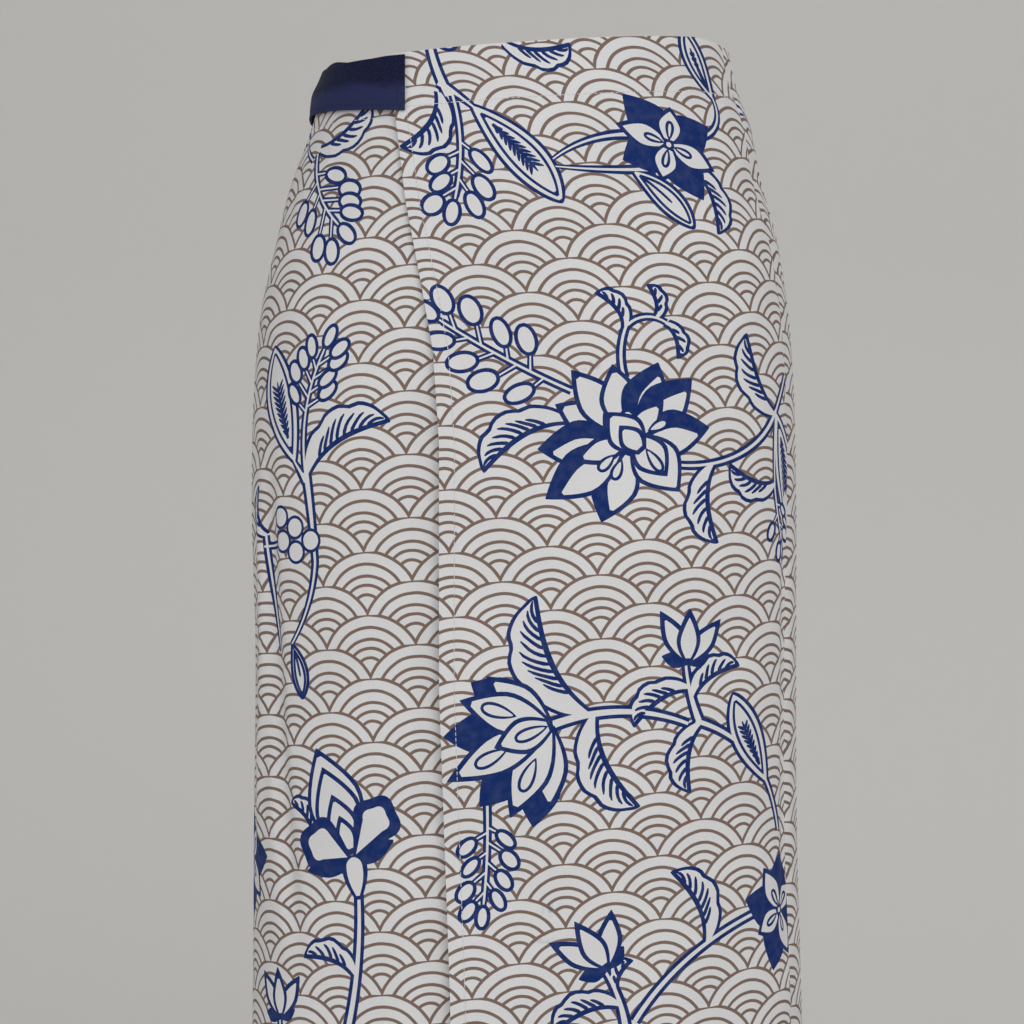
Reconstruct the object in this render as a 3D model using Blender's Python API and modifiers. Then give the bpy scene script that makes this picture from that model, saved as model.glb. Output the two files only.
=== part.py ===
"""A wrap sarong as it hangs when worn: three panels of printed cotton and a navy waist band.

Metres, +Z up. The origin is the middle of the waist opening, level with the top edge.
The overlap closes at the front, which faces -Y. The cloth is laid out on a general waist,
hip and leg form: a stack of rounded sections, on which a point is given by its girth
coordinate s (measured at the hips from the middle of the front, positive towards +X) and z.
"""
import math

import bmesh
import bpy
import numpy as np

# ---- driving dimensions -------------------------------------------------------------
LENGTH = 1.000              # waist edge to hem
HIP_HALF_GIRTH = 0.500      # front middle to back middle, round one side
SECTION_POWER = 2.4         # 2 is an ellipse; a little squarer across front and back
CLOTH = 0.0012              # wall of the printed panels
BAND_CLOTH = 0.0016         # wall of the folded waist band
SEAM_GAP = 0.0003           # left between pieces at a seam
SEAM_SPREAD = 0.0007        # between outer faces on the round sides, where inner faces are closer
SEAM_RIGHT = 0.198          # girth coordinate of the side seam at +X
SEAM_LEFT = -0.268          # girth coordinate of the side seam at -X, just behind the side
UNDER_END = 0.150           # the under panel ends here, inside the over panel
OVER_LIFT = 0.0019          # outer face of the over panel above the form
OVER_LIP = 0.0014           # more lift at its free edge
OVER_LIP_WIDTH = 0.025      # girth over which that lift settles
OVER_SETTLED = 0.154        # from here to the seam the over panel comes down to the form
UNDER_DIP = 0.0006          # outer face of the under panel below the form, where covered
UNDER_DIP_WIDTH = 0.040     # girth before the over panel's edge in which it goes down
UNDER_HEM_RISE = 0.004      # the covered hem is this much shorter than the hem over it
ROWS = 24                   # rows of faces from waist to hem
ROW_CROWDING = 1.3          # above 1, the rows stand closer near the waist
COLUMN_CROWDING = 1.25      # the same for the band's columns near its front end
FIT = 0.0003                # spare room where coarse faces of two layers cross

HALF_SECTION_POINTS = 181   # on which a half section is measured

# Sections of the form: half breadths towards -X and +X, half depths to front and back.
SECTIONS = np.array([
    # z,     minus_x, plus_x, front,  back
    (0.010,  0.1330, 0.1370, 0.0975, 0.0995),
    (-0.020, 0.1390, 0.1430, 0.1010, 0.1030),
    (-0.050, 0.1465, 0.1535, 0.1060, 0.1080),
    (-0.090, 0.1610, 0.1605, 0.1130, 0.1160),
    (-0.130, 0.1710, 0.1715, 0.1190, 0.1240),
    (-0.170, 0.1800, 0.1780, 0.1230, 0.1310),
    (-0.220, 0.1850, 0.1820, 0.1260, 0.1350),
    (-0.300, 0.1870, 0.1840, 0.1270, 0.1340),
    (-0.400, 0.1845, 0.1840, 0.1250, 0.1280),
    (-0.520, 0.1855, 0.1845, 0.1230, 0.1230),
    (-0.650, 0.1865, 0.1880, 0.1220, 0.1220),
    (-0.800, 0.1900, 0.1920, 0.1240, 0.1240),
    (-1.020, 0.1970, 0.1990, 0.1280, 0.1290),
])
Z, MINUS_X, PLUS_X, FRONT, BACK = SECTIONS.T

# Free edge of the over panel, from the waist to the hem, as it stands seen from the front.
OVER_EDGE = np.array([
    # down, from the middle towards -X
    (0.00, 0.086),
    (0.04, 0.085),
    (0.10, 0.078),
    (0.16, 0.067),
    (0.20, 0.060),
    (0.26, 0.056),
    (0.42, 0.056),
    (0.62, 0.049),
    (1.00, 0.045),
])

# Upper edges of the panels: height above the origin along the girth coordinate.
OVER_TOP = np.array([
    # s,      z
    (-0.120, -0.010),
    (0.150, 0.004),
    (0.200, 0.002),
])
UNDER_TOP = np.array([
    # s,      z
    (-0.270, -0.016),
    (-0.100, -0.015),
    (0.160, -0.009),
])
BACK_TOP = np.array([
    # way round from the side seam at +X, z
    (0.000, 0.002),
    (0.050, 0.000),
    (0.200, -0.003),
    (0.540, -0.016),
])
# The hem follows the print's rows, which climb towards +X.
OVER_HEM_SLOPE = 0.080
UNDER_HEM_SLOPE = 0.030
HEM_AT_SEAM = -0.985        # hem height at the side seam at +X

# Largest folds: ridges stand out of the form and troughs sink into it. Those that reach
# the hem run past it.
PAST_HEM = -1.040
FOLD_FADE = 0.3             # share of a fold's length over which its ends fade
FOLDS = np.array([
    # s_top,  s_mid,   s_low,   z_top,  z_low,    half_width, height
    (-0.1900, -0.2000, -0.2080, -0.250, -0.560, 0.0120, 0.0028),       # ridge on the -X side
    (-0.1820, -0.1800, -0.1500, -0.230, -0.640, 0.0150, -0.0048),      # trough in front of it
    (-0.1450, -0.1300, -0.1250, -0.640, PAST_HEM, 0.0300, 0.0040),     # lower ridge, -X front
    (0.1900, 0.1930, 0.1900, -0.250, -0.640, 0.0120, -0.0030),         # along the seam at +X
    (0.1350, 0.1200, 0.1100, -0.600, PAST_HEM, 0.0380, -0.0045),       # lower front, +X
    (0.0300, 0.0220, 0.0200, -0.660, PAST_HEM, 0.0360, 0.0035),        # lower front, middle
    (0.2750, 0.2900, 0.3000, -0.300, PAST_HEM, 0.0300, -0.0065),       # back, from +X to -X
    (0.3500, 0.3600, 0.3700, -0.240, PAST_HEM, 0.0280, 0.0060),
    (0.4300, 0.4320, 0.4350, -0.330, -0.960, 0.0300, -0.0080),
    (-0.4750, -0.4740, -0.4700, -0.260, PAST_HEM, 0.0300, 0.0070),
    (-0.4000, -0.3960, -0.3900, -0.300, PAST_HEM, 0.0320, -0.0085),
    (-0.3250, -0.3220, -0.3150, -0.220, -0.980, 0.0280, 0.0055),
])
UNDER_TROUGH_WIDTH = 0.020   # the under panel sinks beside the over panel's free edge
UNDER_TROUGH_DEPTH = 0.0045
UNDER_TROUGH_BESIDE = 0.004  # its middle, from the edge towards -X
UNDER_TROUGH_START = 0.130   # how far down it begins
UNDER_TROUGH_FULL = 0.300    # how far down it is full

# Waist band: a folded strip from the over panel's top corner, round -X, to the back.
BAND_ASIDE = 0.078           # its front end stands plumb, this far from the middle towards -X
BAND_PLUMB = 0.100           # along the band, until its columns follow the form instead
BAND_LENGTH = 0.560          # along the girth coordinate
BAND_ON_PANEL = 0.012        # this much lies on the over panel
BAND_EDGES = np.array([
    # along,  top,     bottom
    (0.000, -0.011, -0.048),
    (0.060, -0.012, -0.044),
    (0.110, -0.012, -0.042),
    (0.220, -0.011, -0.045),
    (0.560, -0.006, -0.043),
])
BAND_PROFILE = np.array([
    # down,  lift of its inner face: the lower half stands off, the upper half leans in
    (0.00, 0.0006),
    (0.25, 0.0022),
    (0.45, 0.0036),
    (0.70, 0.0032),
    (1.00, 0.0020),
])

PRINT_GROUND = (0.66, 0.62, 0.59, 1.0)
NAVY = (0.022, 0.028, 0.105, 1.0)


# ---- the form -----------------------------------------------------------------------
def smooth_column(z, column):
    """A section table's column at z, along a curve through its rows."""
    levels = Z[::-1]
    values = column[::-1]
    slopes = np.gradient(values, levels)
    k = int(np.clip(np.searchsorted(levels, z) - 1, 0, len(levels) - 2))
    span = levels[k + 1] - levels[k]
    t = (z - levels[k]) / span
    return (
        values[k] * (1 + 2 * t) * (1 - t) ** 2
        + slopes[k] * span * t * (1 - t) ** 2
        + values[k + 1] * t * t * (3 - 2 * t)
        + slopes[k + 1] * span * t * t * (t - 1)
    )


def half_section(z, side):
    """Points from the front middle to the back middle round one side, and the way along."""
    breadth = smooth_column(z, PLUS_X if side > 0 else MINUS_X)
    front = smooth_column(z, FRONT)
    back = smooth_column(z, BACK)
    turn = np.linspace(0, math.pi, HALF_SECTION_POINTS)
    power = 2 / SECTION_POWER
    x = side * breadth * np.abs(np.sin(turn)) ** power
    depth = np.where(turn < math.pi / 2, front, back)
    y = -depth * np.sign(np.cos(turn)) * np.abs(np.cos(turn)) ** power
    way = np.concatenate([[0], np.cumsum(np.hypot(np.diff(x), np.diff(y)))])
    return x, y, way


def on_form(s, z):
    """The form's point at girth coordinate s and height z, and its outward direction."""
    side = 1 if s >= 0 else -1
    x, y, way = half_section(z, side)
    at = min(abs(s) / HIP_HALF_GIRTH, 1) * way[-1]
    step = way[-1] / HALF_SECTION_POINTS
    place = np.array([np.interp(at, way, x), np.interp(at, way, y)])
    after = np.array([np.interp(at + step, way, x), np.interp(at + step, way, y)])
    before = np.array([np.interp(at - step, way, x), np.interp(at - step, way, y)])
    along = (after - before) * side
    out = np.array([along[1], -along[0]]) / np.hypot(*along)
    return place, out


def girth_at(x, z):
    """The girth coordinate of the form's front where it stands at x, at height z."""
    side = 1 if x >= 0 else -1
    across, _, way = half_section(z, side)
    front = HALF_SECTION_POINTS // 2 + 1
    return side * np.interp(side * x, side * across[:front], way[:front]) / way[-1] * HIP_HALF_GIRTH


def wrapped(g):
    """A girth coordinate kept between the back middle on -X and the back middle on +X."""
    return (g + HIP_HALF_GIRTH) % (2 * HIP_HALF_GIRTH) - HIP_HALF_GIRTH


def ramp(value, start, end):
    t = min(max((value - start) / (end - start), 0), 1)
    return t * t * (3 - 2 * t)


def bump(distance, half_width):
    """A smooth hill one high, which reaches zero at the half width."""
    return math.cos(math.pi / 2 * distance / half_width) ** 2 if abs(distance) < half_width else 0.0


def fold_height(s, z):
    """How far the folds lift the cloth from the form."""
    total = 0.0
    for s_top, s_mid, s_low, z_top, z_low, half_width, height in FOLDS:
        down = (z_top - z) / (z_top - z_low)
        fade = ramp(down, 0, FOLD_FADE)
        if z_low > PAST_HEM:
            fade *= 1 - ramp(down, 1 - FOLD_FADE, 1)
        middle = (
            s_top * (1 - down) * (1 - 2 * down)
            + s_mid * 4 * down * (1 - down)
            + s_low * down * (2 * down - 1)
        )
        total += height * fade * bump(wrapped(s - middle), half_width)
    return total


def cloth_point(s, z, lift):
    place, out = on_form(s, z)
    place = place + out * (lift + fold_height(s, z))
    return place[0], place[1], z


# ---- objects ------------------------------------------------------------------------
def material(name, color, roughness):
    made = bpy.data.materials.new(name)
    made.use_nodes = True
    shader = made.node_tree.nodes["Principled BSDF"]
    shader.inputs["Base Color"].default_value = color
    shader.inputs["Roughness"].default_value = roughness
    shader.inputs["Metallic"].default_value = 0.0
    made.diffuse_color = color
    return made


def sheet(name, point, columns, rows, crowding, wall, finish, collection):
    """A wall whose outer face is the grid point(across, down), with both from 0 to 1."""
    mesh = bpy.data.meshes.new(name)
    grid = bmesh.new()
    bmesh.ops.create_grid(grid, x_segments=columns, y_segments=rows, size=0.5)
    for vertex in grid.verts:
        across = min(max(0.5 + vertex.co.x, 0), 1)
        down = min(max(0.5 - vertex.co.y, 0), 1)
        vertex.co = point(across, down ** crowding)
    grid.to_mesh(mesh)
    grid.free()
    mesh.materials.append(finish)
    mesh.shade_smooth()
    made = bpy.data.objects.new(name, mesh)
    collection.objects.link(made)
    shell = made.modifiers.new("wall", "SOLIDIFY")
    shell.thickness = wall
    shell.offset = -1
    return made


def edge_of_over(down):
    """Girth coordinate of the over panel's free edge, down from 0 at the waist to 1."""
    aside = np.interp(down * LENGTH, OVER_EDGE[:, 0], OVER_EDGE[:, 1])
    return girth_at(-aside, OVER_TOP[0, 1] - down * LENGTH)


def hem(s, slope):
    return HEM_AT_SEAM + slope * (s - SEAM_RIGHT)


def over_front(collection, finish):
    def point(across, down):
        left = edge_of_over(down)
        right = SEAM_RIGHT - SEAM_SPREAD / 2
        s = left + (right - left) * across
        top = np.interp(s, OVER_TOP[:, 0], OVER_TOP[:, 1])
        z = top + (hem(s, OVER_HEM_SLOPE) - top) * down
        lift = OVER_LIFT * (1 - ramp(s, OVER_SETTLED, SEAM_RIGHT))
        lift += OVER_LIP * (1 - ramp(s, left, left + OVER_LIP_WIDTH))
        return cloth_point(s, z, lift)

    return sheet("over_front", point, 24, ROWS, ROW_CROWDING, CLOTH, finish, collection)


def under_front(collection, finish):
    def point(across, down):
        left = SEAM_LEFT + SEAM_SPREAD / 2
        s = left + (UNDER_END - left) * across
        top = np.interp(s, UNDER_TOP[:, 0], UNDER_TOP[:, 1])
        edge = edge_of_over(down)
        covered = ramp(s, edge - UNDER_DIP_WIDTH, edge)
        low = hem(s, UNDER_HEM_SLOPE) + UNDER_HEM_RISE * covered
        z = top + (low - top) * down
        beside = bump(s - edge + UNDER_TROUGH_BESIDE, UNDER_TROUGH_WIDTH)
        begun = ramp(down, UNDER_TROUGH_START, UNDER_TROUGH_FULL)
        lift = -UNDER_DIP * covered - UNDER_TROUGH_DEPTH * beside * begun
        return cloth_point(s, z, lift)

    return sheet("under_front", point, 32, ROWS, ROW_CROWDING, CLOTH, finish, collection)


def back(collection, finish):
    way_round = SEAM_LEFT + 2 * HIP_HALF_GIRTH - SEAM_RIGHT - SEAM_SPREAD

    def point(across, down):
        g = SEAM_RIGHT + SEAM_SPREAD / 2 + way_round * across
        top = np.interp(g - SEAM_RIGHT, BACK_TOP[:, 0], BACK_TOP[:, 1])
        low = hem(SEAM_RIGHT, 0) + (hem(SEAM_LEFT, UNDER_HEM_SLOPE) - HEM_AT_SEAM) * across
        return cloth_point(wrapped(g), top + (low - top) * down, 0.0)

    return sheet("back", point, 40, ROWS, ROW_CROWDING, CLOTH, finish, collection)


def waist_band(collection, finish):
    start = girth_at(-BAND_ASIDE, BAND_EDGES[0, 1])

    def point(across, down):
        along = BAND_LENGTH * (1 - across) ** COLUMN_CROWDING
        top = np.interp(along, BAND_EDGES[:, 0], BAND_EDGES[:, 1])
        bottom = np.interp(along, BAND_EDGES[:, 0], BAND_EDGES[:, 2])
        inner = np.interp(down, BAND_PROFILE[:, 0], BAND_PROFILE[:, 1])
        on_panel = OVER_LIFT + OVER_LIP + SEAM_GAP + FIT
        inner += (on_panel - inner) * (1 - ramp(along, BAND_ON_PANEL, 3 * BAND_ON_PANEL))
        z = top + (bottom - top) * down
        slant = (girth_at(-BAND_ASIDE, z) - start) * (1 - ramp(along, 0, BAND_PLUMB))
        place, out = on_form(wrapped(start + slant - along), z)
        place = place + out * (inner + BAND_CLOTH)
        return place[0], place[1], z

    return sheet("waist_band", point, 44, 5, 1, BAND_CLOTH, finish, collection)


def main():
    for old in list(bpy.data.objects):
        bpy.data.objects.remove(old)
    garment = bpy.data.collections.new("wrap_sarong")
    bpy.context.scene.collection.children.link(garment)
    over_front(garment, material("over_print", PRINT_GROUND, 0.85))
    under_front(garment, material("under_print", PRINT_GROUND, 0.85))
    back(garment, material("back_print", PRINT_GROUND, 0.85))
    waist_band(garment, material("navy_band", NAVY, 0.75))


main()
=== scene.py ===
"""Looks of a worn batik wrap sarong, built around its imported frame.

Every printed panel is one thin shell over the same waist, hip and leg form as its CAD node.
The blue print is drawn in the print's own plane, in millimetres, as ribbons and petals in
painter's order. Each lies on the cloth as cut faces, so that its edges stay sharp. The brown
wave pattern behind it is worked out in the material, from the print coordinates.
"""
import math
from collections import namedtuple

import bpy
import numpy as np
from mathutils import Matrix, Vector
from mathutils.geometry import delaunay_2d_cdt


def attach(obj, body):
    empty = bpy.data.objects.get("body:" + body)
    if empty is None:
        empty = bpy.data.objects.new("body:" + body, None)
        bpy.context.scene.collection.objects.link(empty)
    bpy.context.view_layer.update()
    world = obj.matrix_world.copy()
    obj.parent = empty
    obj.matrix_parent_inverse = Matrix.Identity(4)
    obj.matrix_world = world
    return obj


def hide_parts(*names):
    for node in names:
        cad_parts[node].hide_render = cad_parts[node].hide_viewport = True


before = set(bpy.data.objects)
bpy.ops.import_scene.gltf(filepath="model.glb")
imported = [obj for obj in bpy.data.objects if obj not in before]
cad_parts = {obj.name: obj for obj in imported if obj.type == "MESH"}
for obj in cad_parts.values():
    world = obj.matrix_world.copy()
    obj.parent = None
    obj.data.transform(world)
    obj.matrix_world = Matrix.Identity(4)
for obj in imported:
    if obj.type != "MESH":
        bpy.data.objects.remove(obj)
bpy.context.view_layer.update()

# ---- the garment's dimensions, in metres, as in the frame ----
LENGTH = 1.000              # waist edge to hem
HIP_HALF_GIRTH = 0.500      # front middle to back middle, round one side
SECTION_POWER = 2.4         # 2 is an ellipse; a little squarer across front and back
WALL = 0.0006               # printed cotton, a little thicker than life
SEAM_RIGHT = 0.198          # girth coordinate of the side seam at +X
SEAM_LEFT = -0.268          # girth coordinate of the side seam at -X, just behind the side
SEAM_FAR = SEAM_LEFT + 2 * HIP_HALF_GIRTH   # the same seam, reached round the back
UNDER_END = 0.150           # the under panel ends here, inside the over panel
OVER_LIFT = 0.0019          # outer face of the over panel above the form
OVER_LIP = 0.0014           # more lift at its free edge
OVER_LIP_WIDTH = 0.025      # girth over which that lift settles
OVER_SETTLED = 0.154        # from here to the seam the over panel comes down to the form
UNDER_DIP = 0.0006          # outer face of the under panel below the form, where covered
UNDER_DIP_WIDTH = 0.040     # girth before the over panel's edge in which it goes down
UNDER_HEM_RISE = 0.004      # the covered hem is this much shorter than the hem over it
SEAM_GROOVE = 0.0012        # the seams pull the cloth in by this much
SEAM_GROOVE_WIDTH = 0.0035  # half of the groove's width
SEAM_JOIN = 0.0001          # each panel stops this far from the seam's middle

# Sections of the form: half breadths towards -X and +X, half depths to front and back.
SECTIONS = np.array([
    # z,     minus_x, plus_x, front,  back
    (0.010,  0.1330, 0.1370, 0.0975, 0.0995),
    (-0.020, 0.1390, 0.1430, 0.1010, 0.1030),
    (-0.050, 0.1465, 0.1535, 0.1060, 0.1080),
    (-0.090, 0.1610, 0.1605, 0.1130, 0.1160),
    (-0.130, 0.1710, 0.1715, 0.1190, 0.1240),
    (-0.170, 0.1800, 0.1780, 0.1230, 0.1310),
    (-0.220, 0.1850, 0.1820, 0.1260, 0.1350),
    (-0.300, 0.1870, 0.1840, 0.1270, 0.1340),
    (-0.400, 0.1845, 0.1840, 0.1250, 0.1280),
    (-0.520, 0.1855, 0.1845, 0.1230, 0.1230),
    (-0.650, 0.1865, 0.1880, 0.1220, 0.1220),
    (-0.800, 0.1900, 0.1920, 0.1240, 0.1240),
    (-1.020, 0.1970, 0.1990, 0.1280, 0.1290),
])
# Free edge of the over panel, from the waist to the hem, as it stands seen from the front.
OVER_EDGE = np.array([
    # down, from the middle towards -X
    (0.00, 0.086),
    (0.04, 0.085),
    (0.10, 0.078),
    (0.16, 0.067),
    (0.20, 0.060),
    (0.26, 0.056),
    (0.42, 0.056),
    (0.62, 0.049),
    (1.00, 0.045),
])
# Upper edges of the panels: height above the origin along the girth coordinate.
OVER_TOP = np.array([
    # s,      z
    (-0.120, -0.010),
    (0.150, 0.004),
    (0.200, 0.002),
])
UNDER_TOP = np.array([
    # s,      z
    (-0.270, -0.016),
    (-0.100, -0.015),
    (0.160, -0.009),
])
BACK_TOP = np.array([
    # way round from the side seam at +X, z
    (0.000, 0.002),
    (0.050, 0.000),
    (0.200, -0.003),
    (0.540, -0.016),
])
OVER_HEM_SLOPE = 0.080      # the hem follows the print's rows, which climb towards +X
UNDER_HEM_SLOPE = 0.030
HEM_AT_SEAM = -0.985        # hem height at the side seam at +X

PAST_HEM = -1.040           # folds that reach the hem run past it
FOLD_FADE = 0.3             # share of a fold's length over which its ends fade
FOLDS = np.array([
    # s_top,  s_mid,   s_low,   z_top,  z_low,    half_width, height
    (-0.190, -0.200, -0.208, -0.250, -0.560, 0.012, 0.0028),  # ridge on the -X side
    (-0.182, -0.180, -0.150, -0.230, -0.640, 0.015, -0.0048),  # trough in front of it
    (-0.145, -0.130, -0.125, -0.640, PAST_HEM, 0.030, 0.0040),  # lower ridge, -X front
    (0.190, 0.193, 0.190, -0.250, -0.640, 0.012, -0.0030),  # along the seam at +X
    (0.135, 0.120, 0.110, -0.600, PAST_HEM, 0.038, -0.0045),  # lower front, +X
    (0.030, 0.022, 0.020, -0.660, PAST_HEM, 0.036, 0.0035),  # lower front, middle
    (0.275, 0.290, 0.300, -0.300, PAST_HEM, 0.030, -0.0065),  # back, from +X to -X
    (0.350, 0.360, 0.370, -0.240, PAST_HEM, 0.028, 0.0060),
    (0.430, 0.432, 0.435, -0.330, -0.960, 0.030, -0.0080),
    (-0.475, -0.474, -0.470, -0.260, PAST_HEM, 0.030, 0.0070),
    (-0.400, -0.396, -0.390, -0.300, PAST_HEM, 0.032, -0.0085),
    (-0.325, -0.322, -0.315, -0.220, -0.980, 0.028, 0.0055),
])
WRINKLES = np.array([
    # small creases: s, z at one end, s, z at the other, half_width, height
    (-0.130, -0.050, -0.105, -0.105, 0.006, 0.0011),  # drawn up under the band
    (-0.115, -0.050, -0.096, -0.092, 0.005, -0.0009),
    (-0.165, -0.052, -0.148, -0.125, 0.007, 0.0010),
    (-0.205, -0.055, -0.190, -0.150, 0.008, -0.0012),
    (-0.230, -0.170, -0.150, -0.205, 0.011, 0.0012),  # across the hip at -X
    (-0.235, -0.250, -0.170, -0.290, 0.012, -0.0012),
    (-0.125, -0.520, -0.065, -0.500, 0.014, 0.0011),
    (-0.140, -0.740, -0.070, -0.770, 0.016, -0.0014),
    (0.145, -0.100, 0.193, -0.070, 0.008, 0.0010),  # towards the seam at +X
    (0.135, -0.205, 0.192, -0.165, 0.010, -0.0010),
    (0.070, -0.390, 0.150, -0.370, 0.016, 0.0009),
    (-0.020, -0.610, 0.090, -0.590, 0.018, -0.0012),
    (0.030, -0.830, 0.150, -0.800, 0.020, 0.0014),
    (0.215, -0.060, 0.250, -0.160, 0.009, 0.0012),  # on the back
    (0.300, -0.050, 0.315, -0.150, 0.009, -0.0013),
    (0.400, -0.050, 0.390, -0.170, 0.010, 0.0013),
    (-0.440, -0.055, -0.430, -0.160, 0.009, -0.0013),
    (-0.350, -0.055, -0.370, -0.170, 0.010, 0.0012),
    (0.330, -0.245, 0.450, -0.275, 0.015, 0.0016),
    (-0.470, -0.260, -0.360, -0.235, 0.015, -0.0016),
    (0.260, -0.620, 0.390, -0.650, 0.020, 0.0015),
    (-0.430, -0.700, -0.300, -0.670, 0.020, -0.0015),
])
UNDER_TROUGH_WIDTH = 0.020   # the under panel sinks beside the over panel's free edge
UNDER_TROUGH_DEPTH = 0.0045
UNDER_TROUGH_BESIDE = 0.004  # its middle, from the edge towards -X
UNDER_TROUGH_START = 0.130   # how far down it begins
UNDER_TROUGH_FULL = 0.300    # how far down it is full

# ---- the print ----
PITCH = 61.0                # millimetres from one wave to the next in a row
ROW = 0.336                 # pitches from one row of waves to the next
ARCS = (                    # a wave's arcs: top below the wave's top, radius, in pitches
    (0.000, 0.553),
    (0.130, 0.427),
    (0.256, 0.344),
    (0.352, 0.258),
    (0.453, 0.153),
)
ARC_LINE = 0.034            # width of the brown lines, in pitches
PER_METRE = 1000 / PITCH    # pitches to a metre of cloth

# How the print lies on a panel: a wave's top stands at (s, z). Its rows climb towards +X by
# so many degrees at the hips and at the hem, and its columns lean by so many. Above the hips
# they swing over by so many pitches, where the panel is drawn in.
HIPS = -0.220
HEM = -1.000
Lie = namedtuple("Lie", "s z hip_tilt hem_tilt hip_lean hem_lean swing")
OVER_LIE = Lie(s=0.045, z=-0.350, hip_tilt=4, hem_tilt=5, hip_lean=4, hem_lean=0, swing=0.6)
UNDER_LIE = Lie(s=-0.105, z=-0.295, hip_tilt=4, hem_tilt=4, hip_lean=2, hem_lean=2, swing=0.1)
BACK_LIE = Lie(s=0.500, z=-0.350, hip_tilt=0.5, hem_tilt=0.5, hip_lean=0.5, hem_lean=0.5, swing=0)

GROUND, RESERVED, NAVY = 0, 1, 2


# ---- curves and tables ----
def smooth(levels, values, at):
    """A table's column at the given places, along a smooth curve through its rows."""
    if levels[0] > levels[-1]:
        levels, values = levels[::-1], values[::-1]
    slopes = np.gradient(values, levels)
    k = np.clip(np.searchsorted(levels, at) - 1, 0, len(levels) - 2)
    span = levels[k + 1] - levels[k]
    t = (at - levels[k]) / span
    return (
        values[k] * (1 + 2 * t) * (1 - t) ** 2
        + slopes[k] * span * t * (1 - t) ** 2
        + values[k + 1] * t * t * (3 - 2 * t)
        + slopes[k + 1] * span * t * t * (t - 1)
    )


def lookup(table, at, k=1):
    """A table's column at the given places, along straight lines through its rows."""
    return np.interp(at, table[:, 0], table[:, k])


def along_line(at, steps, points):
    """The points of a line at the given places. steps: how far along its own points are."""
    return np.column_stack([np.interp(at, steps, axis) for axis in points.T])


def running(steps):
    """How far along each point of a line is, from the steps between them."""
    return np.concatenate([[0], np.cumsum(steps)])


def ramp(value, start, end):
    """A smooth step from 0 at the start to 1 at the end."""
    t = np.clip((value - start) / (end - start), 0, 1)
    return t * t * (3 - 2 * t)


def bump(distance, half_width):
    """A smooth hill one high, which reaches zero at the half width."""
    return np.cos(np.clip(np.abs(distance) / half_width, 0, 1) * math.pi / 2) ** 2


def wrapped(g):
    """A girth coordinate kept between the back middle on -X and the back middle on +X."""
    return (g + HIP_HALF_GIRTH) % (2 * HIP_HALF_GIRTH) - HIP_HALF_GIRTH


# ---- the form ----
HALF_SECTION_POINTS = 721
FRONT_POINTS = 361          # of them, from the front middle to the side
LATTICE_TOP = 0.020
LATTICE_STEP = 0.002
LATTICE_ROWS = 540
LATTICE_COLUMNS = 501
LAST_ROW = LATTICE_ROWS - 1.001     # just above the lowest row


def half_section(z, side):
    """Points from the front middle to the back middle round one side, and the way along."""
    minus_x, plus_x, front, back = (smooth(SECTIONS[:, 0], SECTIONS[:, k], z) for k in range(1, 5))
    breadth = plus_x if side > 0 else minus_x
    turn = np.linspace(0, math.pi, HALF_SECTION_POINTS)
    power = 2 / SECTION_POWER
    x = side * breadth * np.abs(np.sin(turn)) ** power
    depth = np.where(turn < math.pi / 2, front, back)
    y = -depth * np.sign(np.cos(turn)) * np.abs(np.cos(turn)) ** power
    way = running(np.hypot(np.diff(x), np.diff(y)))
    return x, y, way


def girth_at(x, z):
    """The girth coordinate of the form's front where it stands at x, at height z."""
    side = 1 if x >= 0 else -1
    across, _, way = half_section(z, side)
    reach = np.interp(side * x, side * across[:FRONT_POINTS], way[:FRONT_POINTS])
    return side * reach / way[-1] * HIP_HALF_GIRTH


def form_lattice():
    """The form's points and outward directions at regular heights and girth coordinates."""
    girths = np.linspace(-HIP_HALF_GIRTH, HIP_HALF_GIRTH, LATTICE_COLUMNS)
    places = np.empty((LATTICE_ROWS, LATTICE_COLUMNS, 2))
    for row in range(LATTICE_ROWS):
        for side in (-1, 1):
            x, y, way = half_section(LATTICE_TOP - LATTICE_STEP * row, side)
            mine = girths * side >= 0
            at = np.abs(girths[mine]) / HIP_HALF_GIRTH * way[-1]
            places[row, mine, 0] = np.interp(at, way, x)
            places[row, mine, 1] = np.interp(at, way, y)
    ring = places[:, :-1]
    along = np.roll(ring, -1, axis=1) - np.roll(ring, 1, axis=1)
    along = np.concatenate([along, along[:, :1]], axis=1)
    out = np.stack([along[..., 1], -along[..., 0]], axis=2)
    out /= np.linalg.norm(out, axis=2, keepdims=True)
    return np.concatenate([places, out], axis=2)


LATTICE = form_lattice()


def girth_shares():
    """The form's girth at each lattice row, as a share of the girth coordinate's range."""
    ring = LATTICE[:, :, :2]
    girths = np.linalg.norm(np.diff(ring, axis=1), axis=2).sum(axis=1)
    return np.minimum(girths / (2 * HIP_HALF_GIRTH), 1.0)


GIRTH_SHARES = girth_shares()


def girth_share(z):
    """That share at any height."""
    return np.interp((LATTICE_TOP - z) / LATTICE_STEP, np.arange(LATTICE_ROWS), GIRTH_SHARES)


def on_form(s, z):
    """The form's points at girth coordinates s and heights z, and its outward directions."""
    column = (wrapped(s) + HIP_HALF_GIRTH) / (2 * HIP_HALF_GIRTH) * (LATTICE_COLUMNS - 1)
    row = np.clip((LATTICE_TOP - z) / LATTICE_STEP, 0, LAST_ROW)
    i, j = row.astype(int), np.minimum(column.astype(int), LATTICE_COLUMNS - 2)
    down, across = (row - i)[:, None], (column - j)[:, None]
    upper = LATTICE[i, j] * (1 - across) + LATTICE[i, j + 1] * across
    lower = LATTICE[i + 1, j] * (1 - across) + LATTICE[i + 1, j + 1] * across
    found = upper * (1 - down) + lower * down
    return found[:, :2], found[:, 2:]


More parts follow.
